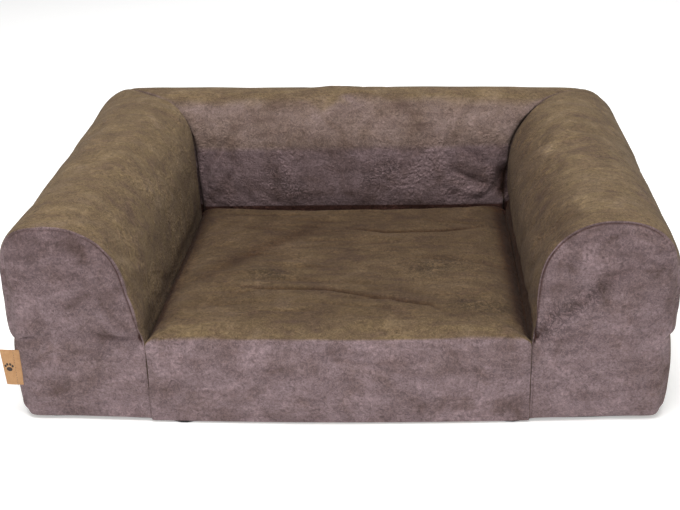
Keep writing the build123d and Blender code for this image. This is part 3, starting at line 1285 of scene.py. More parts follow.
@dataclass
class Arm(Bolster):
    """An arm: the bolster, its front facing down to the floor, and the side of the base under it."""

    side: Side = Side.RIGHT
    crevice_rise: float = 0.032
    seed: int = 11

    def outlines(self) -> tuple[Outline, Outline, Outline]:
        """Return the arm's outline at the front, the middle and the rear mitre."""
        reach = self.sizes.half_width - self.sizes.seat_half
        base = self.sizes.base_half - self.sizes.seat_half
        middle_top = (self.sizes.arm_top + self.sizes.back_top) / 2
        if self.side is Side.LEFT:
            front = bolster_outline(0.034, self.sizes.arm_top - 0.003, 0.078, reach - 0.010, 0.046,
                                    reach - 0.008, reach - 0.013, base + 0.006, self.sizes, 0.018)
            middle = bolster_outline(0.016, middle_top + 0.001, 0.056, reach - 0.003, 0.060,
                                     reach - 0.005, base, base - 0.004, self.sizes)
            rear = bolster_outline(0.010, self.sizes.back_top - 0.003, 0.050, reach, 0.066,
                                   reach - 0.001, base, base - 0.003, self.sizes)
            return front, middle, rear
        front = bolster_outline(0.013, self.sizes.arm_top + 0.003, 0.079, reach - 0.006, 0.070,
                                reach - 0.009, base + 0.002, base + 0.002, self.sizes, drop=0.008)
        middle = bolster_outline(0.011, middle_top + 0.001, 0.078, reach - 0.003, 0.074,
                                 reach - 0.004, base, base - 0.004, self.sizes, drop=0.006)
        rear = bolster_outline(0.010, self.sizes.back_top - 0.005, 0.078, reach, 0.070,
                               reach - 0.001, base, base - 0.003, self.sizes, drop=0.014)
        return front, middle, rear

    def mitre(self, across: Array) -> Array:
        """Return where the rear mitre cuts the arm, for each distance outward."""
        width = self.sizes.base_half - self.sizes.seat_half
        depth = self.sizes.base_rear - self.sizes.seat_rear
        return self.sizes.seat_rear + across * depth / width

    def place(self, across: Array, height: Array, along: Array) -> Array:
        """Put points of the outline in the bed."""
        return np.stack([self.side.value * (self.sizes.seat_half + across), along, height], axis=1)

    def held(self, points: Array) -> Array:
        """Hold the floor, the wall beside the seat and the rear mitre."""
        across = np.abs(points[:, 0]) - self.sizes.seat_half
        wall = (across < 0.004) & (points[:, 2] < self.sizes.seat_top + 0.004)
        floor = points[:, 2] < 0.012
        mitre = points[:, 1] > self.mitre(across) - 0.006
        waist = (np.abs(points[:, 2] - self.sizes.deck + 0.002) < 0.006) & (across > 0.1)
        waist &= points[:, 1] > self.sizes.front + 0.03
        return (wall | floor | mitre | waist).astype(float)

    def folds(self) -> list[Fold]:
        """Return the folds that the sewing pulls into this arm."""
        sign, seat = self.side.value, self.sizes.seat_top

        def at(across: float, along: float, height: float) -> Place:
            """Return a place that far out from the seat's edge."""
            return sign * (self.sizes.seat_half + across), along, height

        def front(shade: float, width: float, height: float, *ends: tuple[float, float]) -> Fold:
            """Make a fold on the facing, out from the corner where arm, seat and front meet."""
            line = [at(out, self.sizes.front - 0.005, seat + up) for out, up in ((0.004, 0.001), *ends)]
            return Fold(tuple(line), width, height, shade, Facing.FRONT, both_ends=False)

        # The shade values below paint shade into the folds' grooves.
        if self.side is Side.LEFT:
            shoulder = (at(0.012, 0.125, 0.190), at(0.026, -0.08, 0.214), at(0.042, -0.28, 0.236))
            return [Fold(shoulder, 0.011, 0.0026),
                    front(0.20, 0.0036, -0.0022, (0.030, 0.002), (0.065, 0.007)),
                    front(0.0, 0.0040, 0.0020, (0.050, 0.020)),
                    front(0.12, 0.0040, -0.0016, (0.024, 0.018), (0.044, 0.042)),
                    front(0.0, 0.0040, 0.0014, (0.046, -0.010)),
                    front(0.10, 0.0060, -0.0014, (0.070, 0.003), (0.150, 0.002)),
                    front(0.10, 0.0040, -0.0012, (0.020, -0.016), (0.034, -0.040))]
        # The tuck and the hole are dents with painted shade in them, the hole's nearly black.
        tuck = (at(0.0, -0.30, 0.113), at(0.0, 0.0, 0.119), at(0.0, 0.15, 0.124))
        hole = (at(0.002, 0.128, 0.118), at(0.004, 0.133, 0.145), at(0.006, 0.135, 0.175))
        return [Fold(tuck, 0.014, -0.0080, 0.35), Fold(hole, 0.010, -0.006, 0.9),
                front(0.28, 0.0080, -0.0020, (0.030, 0.026), (0.080, 0.070), (0.125, 0.100)),
                front(0.0, 0.0050, 0.0018, (0.040, 0.048)),
                front(0.12, 0.0040, -0.0016, (0.018, 0.030), (0.030, 0.060)),
                front(0.10, 0.0060, -0.0012, (0.070, 0.002), (0.140, -0.003))]

    def rubbed(self) -> list[Fold]:
        """Rub the right facing up from the corner where arm, seat and front meet."""
        if self.side is Side.LEFT:
            return []
        line = [(self.sizes.seat_half + out, self.sizes.front, self.sizes.seat_top + up)
                for out, up in ((0.002, 0.004), (0.040, 0.036), (0.095, 0.078))]
        return [Fold(tuple(line), 0.016, 0.0, 0.0, Facing.FRONT, both_ends=False)]

    def painted_shade_level(self, points: Array, out: Array) -> Array:
        """Paint shade on the inner wall, more where it meets the seat and the backrest, and darken the front
        facing toward its top.
        """
        # Painted shade on the inner wall and in the crevice by the seat; the facing darkens toward its top.
        inside = smoothstep(0.30, 0.80, -self.side.value * out[:, 0])
        if self.side is Side.LEFT:
            break_height = np.interp(points[:, 1], (-0.28, 0.125), (0.238, 0.192))
            under = smoothstep(-0.006, 0.006, break_height - points[:, 2])
            inside = inside * 0.3 + 0.7 * (inside > 0.01) * under
        across = np.abs(points[:, 0]) - self.sizes.seat_half
        low = 1 - smoothstep(self.sizes.seat_top, self.sizes.seat_top + self.crevice_rise, points[:, 2])
        behind_front = smoothstep(self.sizes.front + 0.004, self.sizes.front + 0.02, points[:, 1])
        crevice = low * (1 - smoothstep(0.018, 0.026, across)) * behind_front
        facing = smoothstep(0.5, 0.8, -out[:, 1])
        facing = facing * smoothstep(self.sizes.deck, self.sizes.arm_top, points[:, 2])
        shading = ARM_SHADING[self.side]
        return shading.wall * inside + shading.crevice * crevice + shading.facing * facing

    def build(self) -> Object:
        """Build the arm.

        Returns:
            The padded piece.
        """
        outlines = self.outlines()
        front_edge = self.edges(outlines[0], 0.0008, 0.0020, 0.0026, 0.0045)
        left = self.side is Side.LEFT
        # The seam values below paint shade along the front and mitre seams.
        form = PaddedForm(
            name=f"{self.side.name.lower()}_arm_bolster", outlines=outlines, ends=CAP_ENDS, stations=72,
            start=lambda across: np.full_like(across, self.sizes.front), finish=self.mitre, place=self.place,
            start_edge=front_edge, finish_edge=self.edges(outlines[2], 0.007, 0.007, 0.004, 0.003),
            start_puff=0.005, pillow=0.006, held=self.held,
            start_seam=self.edges(outlines[0], 0.0, 0.75, 0.25 if left else 0.6, 0.05),
            finish_seam=self.edges(outlines[2], 0.8, 0.8, 0.12, 0.05))
        obj = form.build()
        form.fill(obj)
        front = outlines[0].corners
        shaped = self.plan.shape(coordinates(obj), self.sizes.seat_half + front[3].across,
                                 self.sizes.seat_half + front[5].across)
        set_coordinates(obj, shaped)
        self.dress(obj, self.folds(), self.seed + self.side.value)
        side = self.side.name.lower()
        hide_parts(f"{side}_arm_cover", f"{side}_arm_foam", f"{side}_arm_front", f"{side}_side_panel")
        return obj


@dataclass
class Backrest(Bolster):
    """The backrest between the two mitres, with the foam of the base behind the seat."""

    zip_recess: float = 0.0045
    break_height: float = 0.200
    wall_shade: float = 0.20
    crevice_shade: float = 0.07
    seed: int = 23
    waver_seed: int = 41

    def outlines(self) -> tuple[Outline, Outline, Outline]:
        """Return the backrest's outline at the left mitre, the middle and the right mitre."""
        reach = self.sizes.rear - self.sizes.seat_rear
        base = self.sizes.base_rear - self.sizes.seat_rear - self.zip_recess
        tops = (self.sizes.back_top - 0.002, self.sizes.back_top, self.sizes.back_top - 0.007)
        drops = (0.0, 0.0, 0.010)
        left, middle, right = (bolster_outline(0.010, top, 0.073, reach, 0.073, reach - 0.001, base, base,
                                               self.sizes, drop=drop) for top, drop in zip(tops, drops))
        return left, middle, right

    def folds(self) -> list[Fold]:
        """Return the pulls beside the two mitres and across the wall."""
        def at(side: float, height: float) -> Place:
            """Return a place on the wall."""
            return side, self.sizes.seat_rear + 0.004, height

        # The hole beside the right mitre is a dent with painted shade in it; the pulls' shade values paint
        # shade into their grooves.
        hole = Fold((at(0.222, 0.118), at(0.224, 0.145), at(0.228, 0.175)), 0.010, -0.006, 0.9)
        pulls = (((0.205, 0.140), (0.175, 0.150), (0.140, 0.172), 0.0050, -0.0026, 0.14),
                 ((0.200, 0.128), (0.170, 0.132), (0.130, 0.150), 0.0060, 0.0024, 0.0),
                 ((0.205, 0.165), (0.175, 0.190), (0.150, 0.200), 0.0070, -0.0022, 0.16),
                 ((-0.212, 0.125), (-0.205, 0.165), (-0.190, 0.200), 0.0050, 0.0030, 0.0),
                 ((-0.222, 0.150), (-0.200, 0.190), (-0.170, 0.230), 0.0045, -0.0022, 0.10),
                 ((-0.195, 0.120), (-0.185, 0.150), (-0.160, 0.185), 0.0060, -0.0020, 0.10))
        return [hole] + [Fold((at(*a), at(*b), at(*c)), width, height, shade, Facing.FRONT)
                         for a, b, c, width, height, shade in pulls]

    def rubbed(self) -> list[Fold]:
        """Rub the wall beside the left corner and near its middle."""
        wall = self.sizes.seat_rear
        return [Fold(((a, wall, low), (b, wall, high)), 0.016, 0.0, 0.0, Facing.FRONT)
                for a, low, b, high in ((-0.135, 0.175, -0.060, 0.120), (0.010, 0.140, 0.075, 0.185))]

    def painted_shade_level(self, points: Array, out: Array) -> Array:
        """Paint shade on the straight wall under the half-round top, most along the seat, with a painted
        shadow line where the wall meets the seat.
        """
        facing = smoothstep(0.4, 0.8, -out[:, 1])
        waver = 0.004 * unevenness(points, 0.05, (1.0, 1.0, 1.0), self.waver_seed)
        wall = 1 - smoothstep(self.break_height - 0.004, self.break_height + 0.004, points[:, 2] + waver)
        low = 1 - smoothstep(self.sizes.seat_top, self.sizes.seat_top + 0.030, points[:, 2])
        line = 1 - smoothstep(self.sizes.seat_top, self.sizes.seat_top + 0.0035, points[:, 2])
        return facing * (self.wall_shade * wall + self.crevice_shade * low + line)

    def nap(self, points: Array, out: Array) -> Array:
        """Lay the nap half over on the half-round top and fully over on the straight wall; the mauve that
        this gives is partly the nap and partly painted sheen.
        """
        turned = smoothstep(0.30, 0.70, -out[:, 1])
        wall = 1 - smoothstep(self.break_height - 0.006, self.break_height + 0.006, points[:, 2])
        return turned * (0.55 + 0.45 * wall)

    def mitre(self, across: Array) -> Array:
        """Return how far from the middle the mitres cut the backrest, for each distance to the rear."""
        width = self.sizes.base_half - self.sizes.seat_half
        depth = self.sizes.base_rear - self.sizes.seat_rear
        return self.sizes.seat_half + across * width / depth

    def place(self, across: Array, height: Array, along: Array) -> Array:
        """Put points of the outline in the bed."""
        return np.stack([along, self.sizes.seat_rear + across, height], axis=1)

    def held(self, points: Array) -> Array:
        """Hold the floor, the wall behind the seat, the rear of the base and both mitres."""
        across = points[:, 1] - self.sizes.seat_rear
        wall = (across < 0.004) & (points[:, 2] < self.sizes.seat_top + 0.004)
        low = (points[:, 2] < 0.012) | ((across > 0.1) & (points[:, 2] < self.sizes.deck + 0.002))
        mitre = np.abs(points[:, 0]) > self.mitre(across) - 0.006
        return (wall | low | mitre).astype(float)

    def build(self) -> Object:
        """Build the backrest.

        Returns:
            The padded piece.
        """
        outlines = self.outlines()
        edge = self.edges(outlines[0], 0.008, 0.008, 0.004, 0.003)
        # Painted shade along both mitre seams.
        seam = self.edges(outlines[0], 0.8, 0.8, 0.12, 0.05)
        form = PaddedForm(
            name="backrest_bolster", outlines=outlines, ends=CAP_ENDS, stations=104,
            start=lambda across: -self.mitre(across), finish=self.mitre, place=self.place,
            start_edge=edge, finish_edge=edge, start_puff=0.0, pillow=0.006, held=self.held,
            start_seam=seam, finish_seam=seam)
        obj = form.build()
        form.fill(obj)
        reach = self.sizes.half_width
        set_coordinates(obj, self.plan.shape(coordinates(obj), reach, self.sizes.base_half))
        self.dress(obj, self.folds(), self.seed)
        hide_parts("back_cover", "back_foam")
        return obj


@dataclass
class SeatBase(Bolster):
    """The seat: one length of cloth over the foam base, folded down over the front edge to the floor."""

    crown: float = 0.004
    seat_darkening: float = 0.40
    crease_rows: int = 30
    seed: int = 31

    def rubbed(self) -> list[Fold]:
        """Rub three patches of the seat."""
        top = self.sizes.seat_top
        return [Fold(((a, along, top), (b, until, top)), width, 0.0, 0.0, Facing.UP)
                for a, along, b, until, width in ((0.070, -0.130, 0.175, -0.085, 0.026),
                                                  (-0.130, -0.120, -0.060, -0.140, 0.018),
                                                  (0.130, -0.215, 0.215, -0.235, 0.022))]

    def painted_shade_level(self, points: Array, out: Array) -> Array:
        """Darken the seat top, with painted shade most along the arms and the backrest, deeper toward the
        rear, on the seat's sides and as a shadow line in the rear gap.
        """
        up = smoothstep(0.4, 0.8, out[:, 2])
        gap = np.minimum(self.sizes.seat_half - np.abs(points[:, 0]), self.sizes.seat_rear - points[:, 1])
        near = (1 - smoothstep(0.0, 0.030, gap)) * np.where(points[:, 0] > 0.19, 1.8, 1.0)
        line = 1 - smoothstep(0.003, 0.010, gap)
        near = near + 1.5 * line
        deep = 0.18 * smoothstep(self.sizes.front, self.sizes.seat_rear, points[:, 1])
        top = up * (self.seat_darkening + deep + 0.4 * near)
        top = top * smoothstep(0.0, 0.05, points[:, 1] - self.sizes.front)
        end = 1 - smoothstep(0.001, 0.005, self.sizes.seat_half - np.abs(points[:, 0]))
        side = np.maximum(smoothstep(0.3, 0.6, np.abs(out[:, 0])), end)
        side = side * smoothstep(0.004, 0.020, points[:, 1] - self.sizes.front)
        rear_line = line * (points[:, 1] > self.sizes.seat_rear - 0.02)
        return np.maximum(np.maximum(top, side), rear_line)

    def nap(self, points: Array, out: Array) -> Array:
        """Turn the nap over abruptly where the cloth folds down over the front; the mauve front drop is
        partly the nap and partly painted sheen.
        """
        below = 1 - smoothstep(self.sizes.seat_top - 0.005, self.sizes.seat_top, points[:, 2])
        return below * smoothstep(0.48, 0.62, -out[:, 1])

    def outlines(self) -> tuple[Outline, Outline, Outline]:
        """Return the seat's outline at its left edge, its middle and its right edge."""
        floor, top = self.sizes.floor_cloth, self.sizes.seat_top
        length = self.sizes.seat_rear - self.sizes.front - 0.0005
        corners = (Corner(0.0, floor, 0.002, 2), Corner(0.0, top, 0.006, 2),
                   Corner(length, top, 0.011, 3), Corner(length + 0.002, floor - 0.001, 0.004, 3))
        outline = Outline(corners, (17, 84, 15, 84))
        return outline, outline, outline

    def place(self, across: Array, height: Array, along: Array) -> Array:
        """Put points of the outline in the bed, with the seat gently crowned."""
        side = np.clip(1 - (along / self.sizes.seat_half) ** 2, 0, 1)
        length = self.sizes.seat_rear - self.sizes.front
        swell = self.crown * side * np.clip(4 * across / length * (1 - across / length), 0, 1) ** 0.6
        raised = np.where(height > self.sizes.seat_top - 0.02, swell, 0.0)
        return np.stack([along, self.sizes.seat_rear - 0.0005 - across, height + raised], axis=1)

    def held(self, points: Array) -> Array:
        """Hold the floor and the hidden walls beside the arms and the backrest."""
        floor = points[:, 2] < 0.012
        walls = np.abs(points[:, 0]) > self.sizes.seat_half - 0.002
        walls |= points[:, 1] > self.sizes.seat_rear - 0.002
        return (floor | (walls & (points[:, 2] < self.sizes.seat_top - 0.012))).astype(float)

    def folds(self) -> list[Fold]:
        """Return the soft folds that lie from side to side across the seat."""
        top = self.sizes.seat_top + self.crown * 0.7

        def across(*places: tuple[float, float]) -> tuple[Place, ...]:
            """Return a line over these places on the seat."""
            return tuple((side, along, top) for side, along in places)

        creases = (
            (((-0.015, 0.032), (0.052, 0.010), (0.134, 0.017), (0.208, 0.044)), 0.0034, -0.0030, 0.40),
            (((-0.175, -0.155), (-0.103, -0.173), (-0.016, -0.179), (0.056, -0.205), (0.111, -0.222),
              (0.132, -0.250)), 0.0036, -0.0032, 0.40),
            (((-0.024, 0.059), (-0.111, -0.040), (-0.208, -0.164)), 0.0160, -0.0026, 0.26),
            (((-0.19, -0.235), (-0.10, -0.165)), 0.0130, -0.0020, 0.14),
            (((0.02, -0.255), (0.06, -0.215), (0.08, -0.150)), 0.0100, 0.0016, 0.0),
        )
        folds = [Fold(across(*places), width, height, shade, Facing.UP)
                 for places, width, height, shade in creases]
        draw = random.Random(SEED)
        depth = self.sizes.seat_rear - self.sizes.front - 0.08
        for k in range(self.crease_rows):
            middle = draw.uniform(-0.15, 0.15)
            half = draw.uniform(0.025, 0.080)
            along = self.sizes.front + 0.05 + depth * (k + 0.5) / self.crease_rows
            tilt = draw.uniform(-0.22, 0.22) - 0.05
            line = across((middle - half, along - tilt * half), (middle + half, along + tilt * half))
            height = draw.choice((-1, -1, 1)) * draw.uniform(0.0010, 0.0022)
            shade = 0.10 if height < 0 else 0.0
            folds.append(Fold(line, draw.uniform(0.0030, 0.0075), height, shade, Facing.UP))
        return folds

    def build(self) -> Object:
        """Build the seat.

        Returns:
            The padded piece.
        """
        outlines = self.outlines()
        starts = outlines[0].sides((0, 1, 2, 3))
        edge = np.zeros(starts[-1])
        seam = np.zeros(starts[-1])
        # The seams along the top's two side edges, where the seat meets the arms, get painted shade.
        for i, (radius, shown) in enumerate(((0.004, 0.0), (0.011, 0.6), (0.0007, 0.0), (0.002, 0.0))):
            edge[starts[i]:starts[i + 1]] = radius
            seam[starts[i]:starts[i + 1]] = shown
        edge = even_out(edge)
        half = self.sizes.seat_half
        form = PaddedForm(
            name="seat_base", outlines=outlines, ends=(0, 1, 2, 3), stations=86,
            start=lambda across: np.full_like(across, -half),
            finish=lambda across: np.full_like(across, half), place=self.place,
            start_edge=edge, finish_edge=edge * 1.3, start_puff=0.0, pillow=0.005, held=self.held,
            start_seam=seam, finish_seam=seam)
        obj = form.build()
        form.fill(obj)
        set_coordinates(obj, self.plan.shape(coordinates(obj), self.sizes.half_width, self.sizes.base_half))
        self.dress(obj, self.folds(), self.seed)
        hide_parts("seat_cover", "base_foam")
        return obj


# Cloth panels


def cloth_panel(name: str, columns: Array, low: Array, high: Array, rows: int,
                place: Callable[[float, float], Place], thickness: float,
                offset: float = -1.0) -> Object:
    """Make a panel of cloth with a real thickness from a grid.

    Args:
        name: the piece's name.
        columns: where each column of the grid stands.
        low: the lower edge at each column.
        high: the upper edge at each column.
        rows: rows of the grid.
        place: turns a place on the panel into a place in the bed.
        thickness: the cloth's thickness.
        offset: side of the grid that the thickness is added to, 1 or -1.

    Returns:
        The closed panel.
    """
    points, faces = [], []
    for c, x in enumerate(columns):
        for r in range(rows + 1):
            points.append(place(float(x), float(low[c] + (high[c] - low[c]) * r / rows)))
    for c in range(len(columns) - 1):
        for r in range(rows):
            first = c * (rows + 1) + r
            faces.append((first, first + rows + 1, first + rows + 2, first + 1))
    obj = new_object(name, new_mesh(name, points, [], faces))
    wall = obj.modifiers.new("wall", "SOLIDIFY")
    wall.thickness = thickness
    wall.offset = offset
    finished_mesh(obj)
    turn_outward(obj)
    obj.data.shade_smooth()
    return obj


@dataclass
class RearPanels:
    """The two cloth panels at the rear of the base, turned in along the zip and stitched to its tapes."""

    sizes: BedSizes
    plan: Plan
    finishes: Finishes
    stitches: NodesTool
    cloth: float = 0.0013
    row_rise: float = 0.0035

    def build(self) -> list[Object]:
        """Build both panels with their stitching.

        Returns:
            The panels and the stitches.
        """
        tape_low, tape_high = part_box("zip_tape_lower")[0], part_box("zip_tape_upper")[1]
        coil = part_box("zip_coil_upper")[1]
        centre = (tape_low.z + tape_high.z) / 2
        gap = coil.z - centre + 0.0028
        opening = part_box("zip_bottom_stop")[1].x
        pieces = []
        halves = (("upper", 1, self.sizes.deck), ("lower", -1, self.sizes.floor_cloth + 0.002))
        for name, way, edge in halves:
            columns = self._columns(opening)
            inner = centre + way * gap * (1 - smoothstep(opening, opening + 0.004, np.abs(columns)))
            wave = 0.0004 * np.sin(columns * 130 + way) + 0.0003 * np.sin(columns * 310)
            inner = inner + way * np.abs(wave)
            outer = np.full_like(columns, edge)
            low, high = (inner, outer) if way == 1 else (outer, inner)
            panel = cloth_panel(f"rear_panel_{name}_cloth", columns, low, high, 14,
                                lambda x, z: self._place(x, z, centre), self.cloth, 1.0)
            self._dress(panel, name)
            width, height = float(columns[-1] - columns[0]), float(np.mean(high - low))
            height = centre + way * (gap + self.row_rise)
            pieces += [panel, self._stitch_row(name, way, height, opening, centre)]
        return pieces

    def _columns(self, opening: float) -> Array:
        """Space the grid's columns, close together where the zip's opening ends."""
        side = self.sizes.base_half - 0.0016
        even = np.linspace(-side, side, 150)
        close = np.linspace(opening - 0.001, opening + 0.005, 7)
        return np.unique(np.round(np.concatenate([even, close, -close]), 5))

    def _place(self, x: float, z: float, centre: float) -> Place:
        """Put a point of a panel in the bed, drawn in a little along the zip."""
        drawn = 0.0004 * math.exp(-(((z - centre) / 0.016) ** 2))
        soft = 0.0004 * noise.noise(Vector((x * 26, z * 40, 3.0)))
        point = np.array([[x, self.sizes.base_rear - drawn + soft, z]])
        shaped = self.plan.shape(point, self.sizes.half_width, self.sizes.base_half)[0]
        return tuple(float(v) for v in shaped)

    def _dress(self, panel: Object, name: str) -> None:
        """Give a panel its cloth and join it to the bed."""
        panel.data.materials.append(self.finishes.suede)
        attribute(panel, "nap", np.full(len(panel.data.vertices), 0.10))
        attribute(panel, "painted_shade", np.zeros(len(panel.data.vertices)))
        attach(panel, BED)
        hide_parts(f"rear_panel_{name}")

    def _stitch_row(self, name: str, way: int, height: float, opening: float, centre: float) -> Object:
        """Sew one row of stitches beside the zip.

        Args:
            name: which panel the row is on.
            way: 1 above the zip and -1 below it.
            height: height of the row.
            opening: half the zip's length.
            centre: height of the zip.

        Returns:
            The stitches.
        """
        reach = opening + self.row_rise
        xs = np.linspace(-reach, reach, 60)
        row = [self._place(float(x), height, centre) for x in xs]
        ends = [[self._place(side * reach, z, centre) for z in (centre + way * 0.001, height)]
                for side in (-1, 1)]
        lines = [[(x, y + 0.0001, z) for x, y, z in line] for line in (row, *ends)]
        mesh = edge_mesh("zip_stitches", lines)
        values = {"Pitch": 0.0034, "Length": 0.0026, "Thickness": 0.0006, "Seed": SEED,
                  "Material": self.finishes.thread}
        stitches = self.stitches.make(f"zip_stitches_{name}", mesh, values)
        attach(stitches, BED)
        return stitches


@dataclass
class Underside:
    """The non-slip cloth under the bed, with its rubber dots."""

    sizes: BedSizes
    plan: Plan
    finishes: Finishes
    dots: NodesTool
    cloth: float = 0.0010
    dot_pitch: float = 0.024
    dot_radius: float = 0.0022
    margin: float = 0.013

    def build(self) -> list[Object]:
        """Build the cloth and the dots.

        Returns:
            Both pieces.
        """
        half = self.sizes.base_half - self.margin
        columns = np.linspace(-half, half, 91)
        rear = np.full_like(columns, self.sizes.base_rear - self.margin)
        front = np.full_like(columns, self.sizes.front - 0.0020) + self._tuck(columns)
        cloth = cloth_panel("non_slip_cloth", columns, front, rear, 60, self._place, self.cloth)
        cloth.data.materials.append(self.finishes.underside)
        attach(cloth, BED)
        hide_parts("bottom_panel")
        return [cloth, self._dots(half)]

    def _tuck(self, columns: Array) -> Array:
        """Return how far the front hem tucks in, with two places where the cloth shows."""
        shown = sum(np.exp(-(((columns - x) / 0.018) ** 2)) for x in (-0.185, 0.205))
        return 0.009 * (1 - shown) + 0.001 * np.sin(columns * 37)

    def _place(self, x: float, y: float) -> Place:
        """Put a point of the cloth in the bed."""
        point = np.array([[x, y, self.sizes.floor_cloth - 0.0001]])
        half = self.sizes.base_half - self.margin
        shaped = self.plan.shape(point, half, half)[0]
        return tuple(float(v) for v in shaped)

    def _dots(self, half: float) -> Object:
        """Set rubber dots in rows under the cloth."""
        depth = self.sizes.base_rear - self.sizes.front
        across, deep = int(2 * half / self.dot_pitch) - 2, int(depth / self.dot_pitch) - 2
        height = (self.sizes.floor_cloth - self.cloth) / 2
        points = [((i - across / 2) * self.dot_pitch + (j % 2) * self.dot_pitch / 2,
                   self.sizes.front + (j + 1.5) * self.dot_pitch, height)
                  for i in range(across) for j in range(deep)]
        values = {"Radius": self.dot_radius, "Height": height, "Material": self.finishes.rubber}
        dots = self.dots.make("grip_dots", new_mesh("grip_dots", points, [], []), values)
        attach(dots, BED)
        return dots


# Label


@dataclass
class Label:
    """A folded tab of kraft board in the left front seam, with a paw print."""

    finishes: Finishes
    stitches: NodesTool
    thickness: float = 0.0011
    bend: float = 0.0016
    lean: float = 0.0028
    tuck: float = 0.0045
    round_edge: float = 0.0003

    def build(self) -> list[Object]:
        """Build the tab, the paw print and the stitches at the seam.

        Returns:
            The three pieces.
        """
        low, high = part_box("side_label")
        columns = np.linspace(low.x, high.x + 0.010, 15)
        board = cloth_panel("label_tab", columns, np.full_like(columns, low.z),
                            np.full_like(columns, high.z), 24,
                            lambda x, z: self._place(x, z, low, high), self.thickness)
        ease_edges(board, self.round_edge, 30)
        board.data.materials.append(self.finishes.board)
        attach(board, BED)
        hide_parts("side_label")
        return [board, self._paw(low, high), self._seam(low, high)]

    def _place(self, x: float, z: float, low: Vector, high: Vector) -> Place:
        """Put a point of the tab in the bed, bent back and leaning out at its top."""
        out = (high.x - x) / (high.x - low.x)
        up = (z - low.z) / (high.z - low.z)
        return x - self.lean * up * max(out, 0.0) - 0.0012, low.y + self.tuck + self.bend * out * out, z

    def _paw(self, low: Vector, high: Vector) -> Object:
        """Print a plain paw on the tab: a main pad and four toes."""
        middle = Vector(((low.x + high.x) / 2 - 0.0008, 0.0, (low.z + high.z) / 2))
        pads = [(0.0, -0.0022, 0.0034, 0.0028)]
        pads += [(0.0046 * math.sin(angle), 0.0046 * math.cos(angle) - 0.0002, 0.0013, 0.0018)
                 for angle in (-1.1, -0.37, 0.37, 1.1)]
        work = bmesh.new()
        for right, up, half_wide, half_tall in pads:
            made = bmesh.ops.create_circle(work, cap_ends=True, segments=24, radius=1.0)
            for vert in made["verts"]:
                x = middle.x + right + vert.co.x * half_wide
                z = middle.z + up + vert.co.y * half_tall
                place = self._place(x, z, low, high)
                vert.co = Vector((place[0], place[1] - 0.00002, place[2]))
        thick = bmesh.ops.extrude_face_region(work, geom=work.faces[:])
        bmesh.ops.translate(work, vec=(0.0, -0.00008, 0.0),
                            verts=[g for g in thick["geom"] if isinstance(g, bmesh.types.BMVert)])
        bmesh.ops.recalc_face_normals(work, faces=work.faces)
        mesh = bpy.data.meshes.new("paw_print")
        work.to_mesh(mesh)
        work.free()
        mesh.materials.append(self.finishes.ink)
        paw = new_object("paw_print", mesh)
        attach(paw, BED)
        return paw

    def _seam(self, low: Vector, high: Vector) -> Object:
        """Sew the tab's edge with a short row of stitches."""
        line = [self._place(high.x - 0.0018, low.z + (high.z - low.z) * k / 8, low, high) for k in range(9)]
        mesh = edge_mesh("label_stitches", [[(x, y - 0.0001, z) for x, y, z in line]])
        values = {"Pitch": 0.0032, "Length": 0.0024, "Thickness": 0.0005, "Seed": SEED,
                  "Material": self.finishes.thread}
        stitches = self.stitches.make("label_stitches", mesh, values)
        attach(stitches, BED)
        return stitches


# Zip


@dataclass
class Zip:
    """The zip in the rear of the base: tapes, coils, stops, slider and pull tab."""

    finishes: Finishes
    coils: NodesTool
    pitch: float = 0.00145
    wire: float = 0.00036
    round_edge: float = 0.00022

    def build(self) -> list[Object]:
        """Dress the tapes and build the coils, the stops, the slider and the pull tab.

        Returns:
            The new pieces.
        """
        pieces = [make(half) for half in ("upper", "lower") for make in (self._tape, self._coil)]
        for node, body in (("zip_top_stops", BED), ("zip_bottom_stop", BED), ("zip_slider", "slider"),
                           ("zip_pull", "pull_tab")):
            pieces.append(self._rounded(node, body))
        return pieces

    def _tape(self, half: str) -> Object:
        """Weave one tape, with a slight ripple along its free edge.

        Args:
            half: upper or lower.

        Returns:
            The tape.
        """
        low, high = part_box(f"zip_tape_{half}")
        columns = np.linspace(low.x, high.x, 260)
        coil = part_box(f"zip_coil_{half}")
        inner = low.z if half == "upper" else high.z

        def place(x: float, z: float) -> Place:
            """Ripple the tape a little, away from the coil."""
            share = abs(z - inner) / (high.z - low.z)
            return x, low.y - 0.0002 * share * math.sin(x * 210 + coil[0].z * 900), z

        tape = cloth_panel(f"zip_tape_{half}_cloth", columns, np.full_like(columns, low.z),
                           np.full_like(columns, high.z), 6, place, high.y - low.y)
        tape.data.materials.append(self.finishes.tape)
        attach(tape, BED)
        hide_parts(f"zip_tape_{half}")
        return tape

    def _coil(self, half: str) -> Object:
        """Wind one coil in the room that its node holds.

        Args:
            half: upper or lower.

        Returns:
            The coil.
        """
        low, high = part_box(f"zip_coil_{half}")
        size = high - low
        values = {"Turns": float(round(size.x / self.pitch)), "Length": size.x - 2 * self.wire,
                  "Width": size.z - 2 * self.wire, "Height": size.y - 2 * self.wire, "Wire": self.wire,
                  "Material": self.finishes.coil}
        coil = self.coils.make(f"zip_coil_{half}_turns", bpy.data.meshes.new("coil"), values)
        start = (low.x + self.wire, (low.y + high.y) / 2, (low.z + high.z) / 2)
        coil.data.transform(Matrix.Translation(start))
        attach(coil, BED)
        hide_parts(f"zip_coil_{half}")
        return coil

    def _rounded(self, node: str, body: str) -> Object:
        """Copy a metal node with its edges eased.

        Args:
            node: the node's name.
            body: the body that it rides on.

        Returns:
            The new piece.
        """
        piece = new_object(f"{node}_metal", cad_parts[node].data.copy())
        turn_outward(piece)
        ease_edges(piece, self.round_edge, 40)
        piece.data.materials.clear()
        piece.data.materials.append(self.finishes.metal)
        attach(piece, body)
        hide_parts(node)
        return piece


# Studio


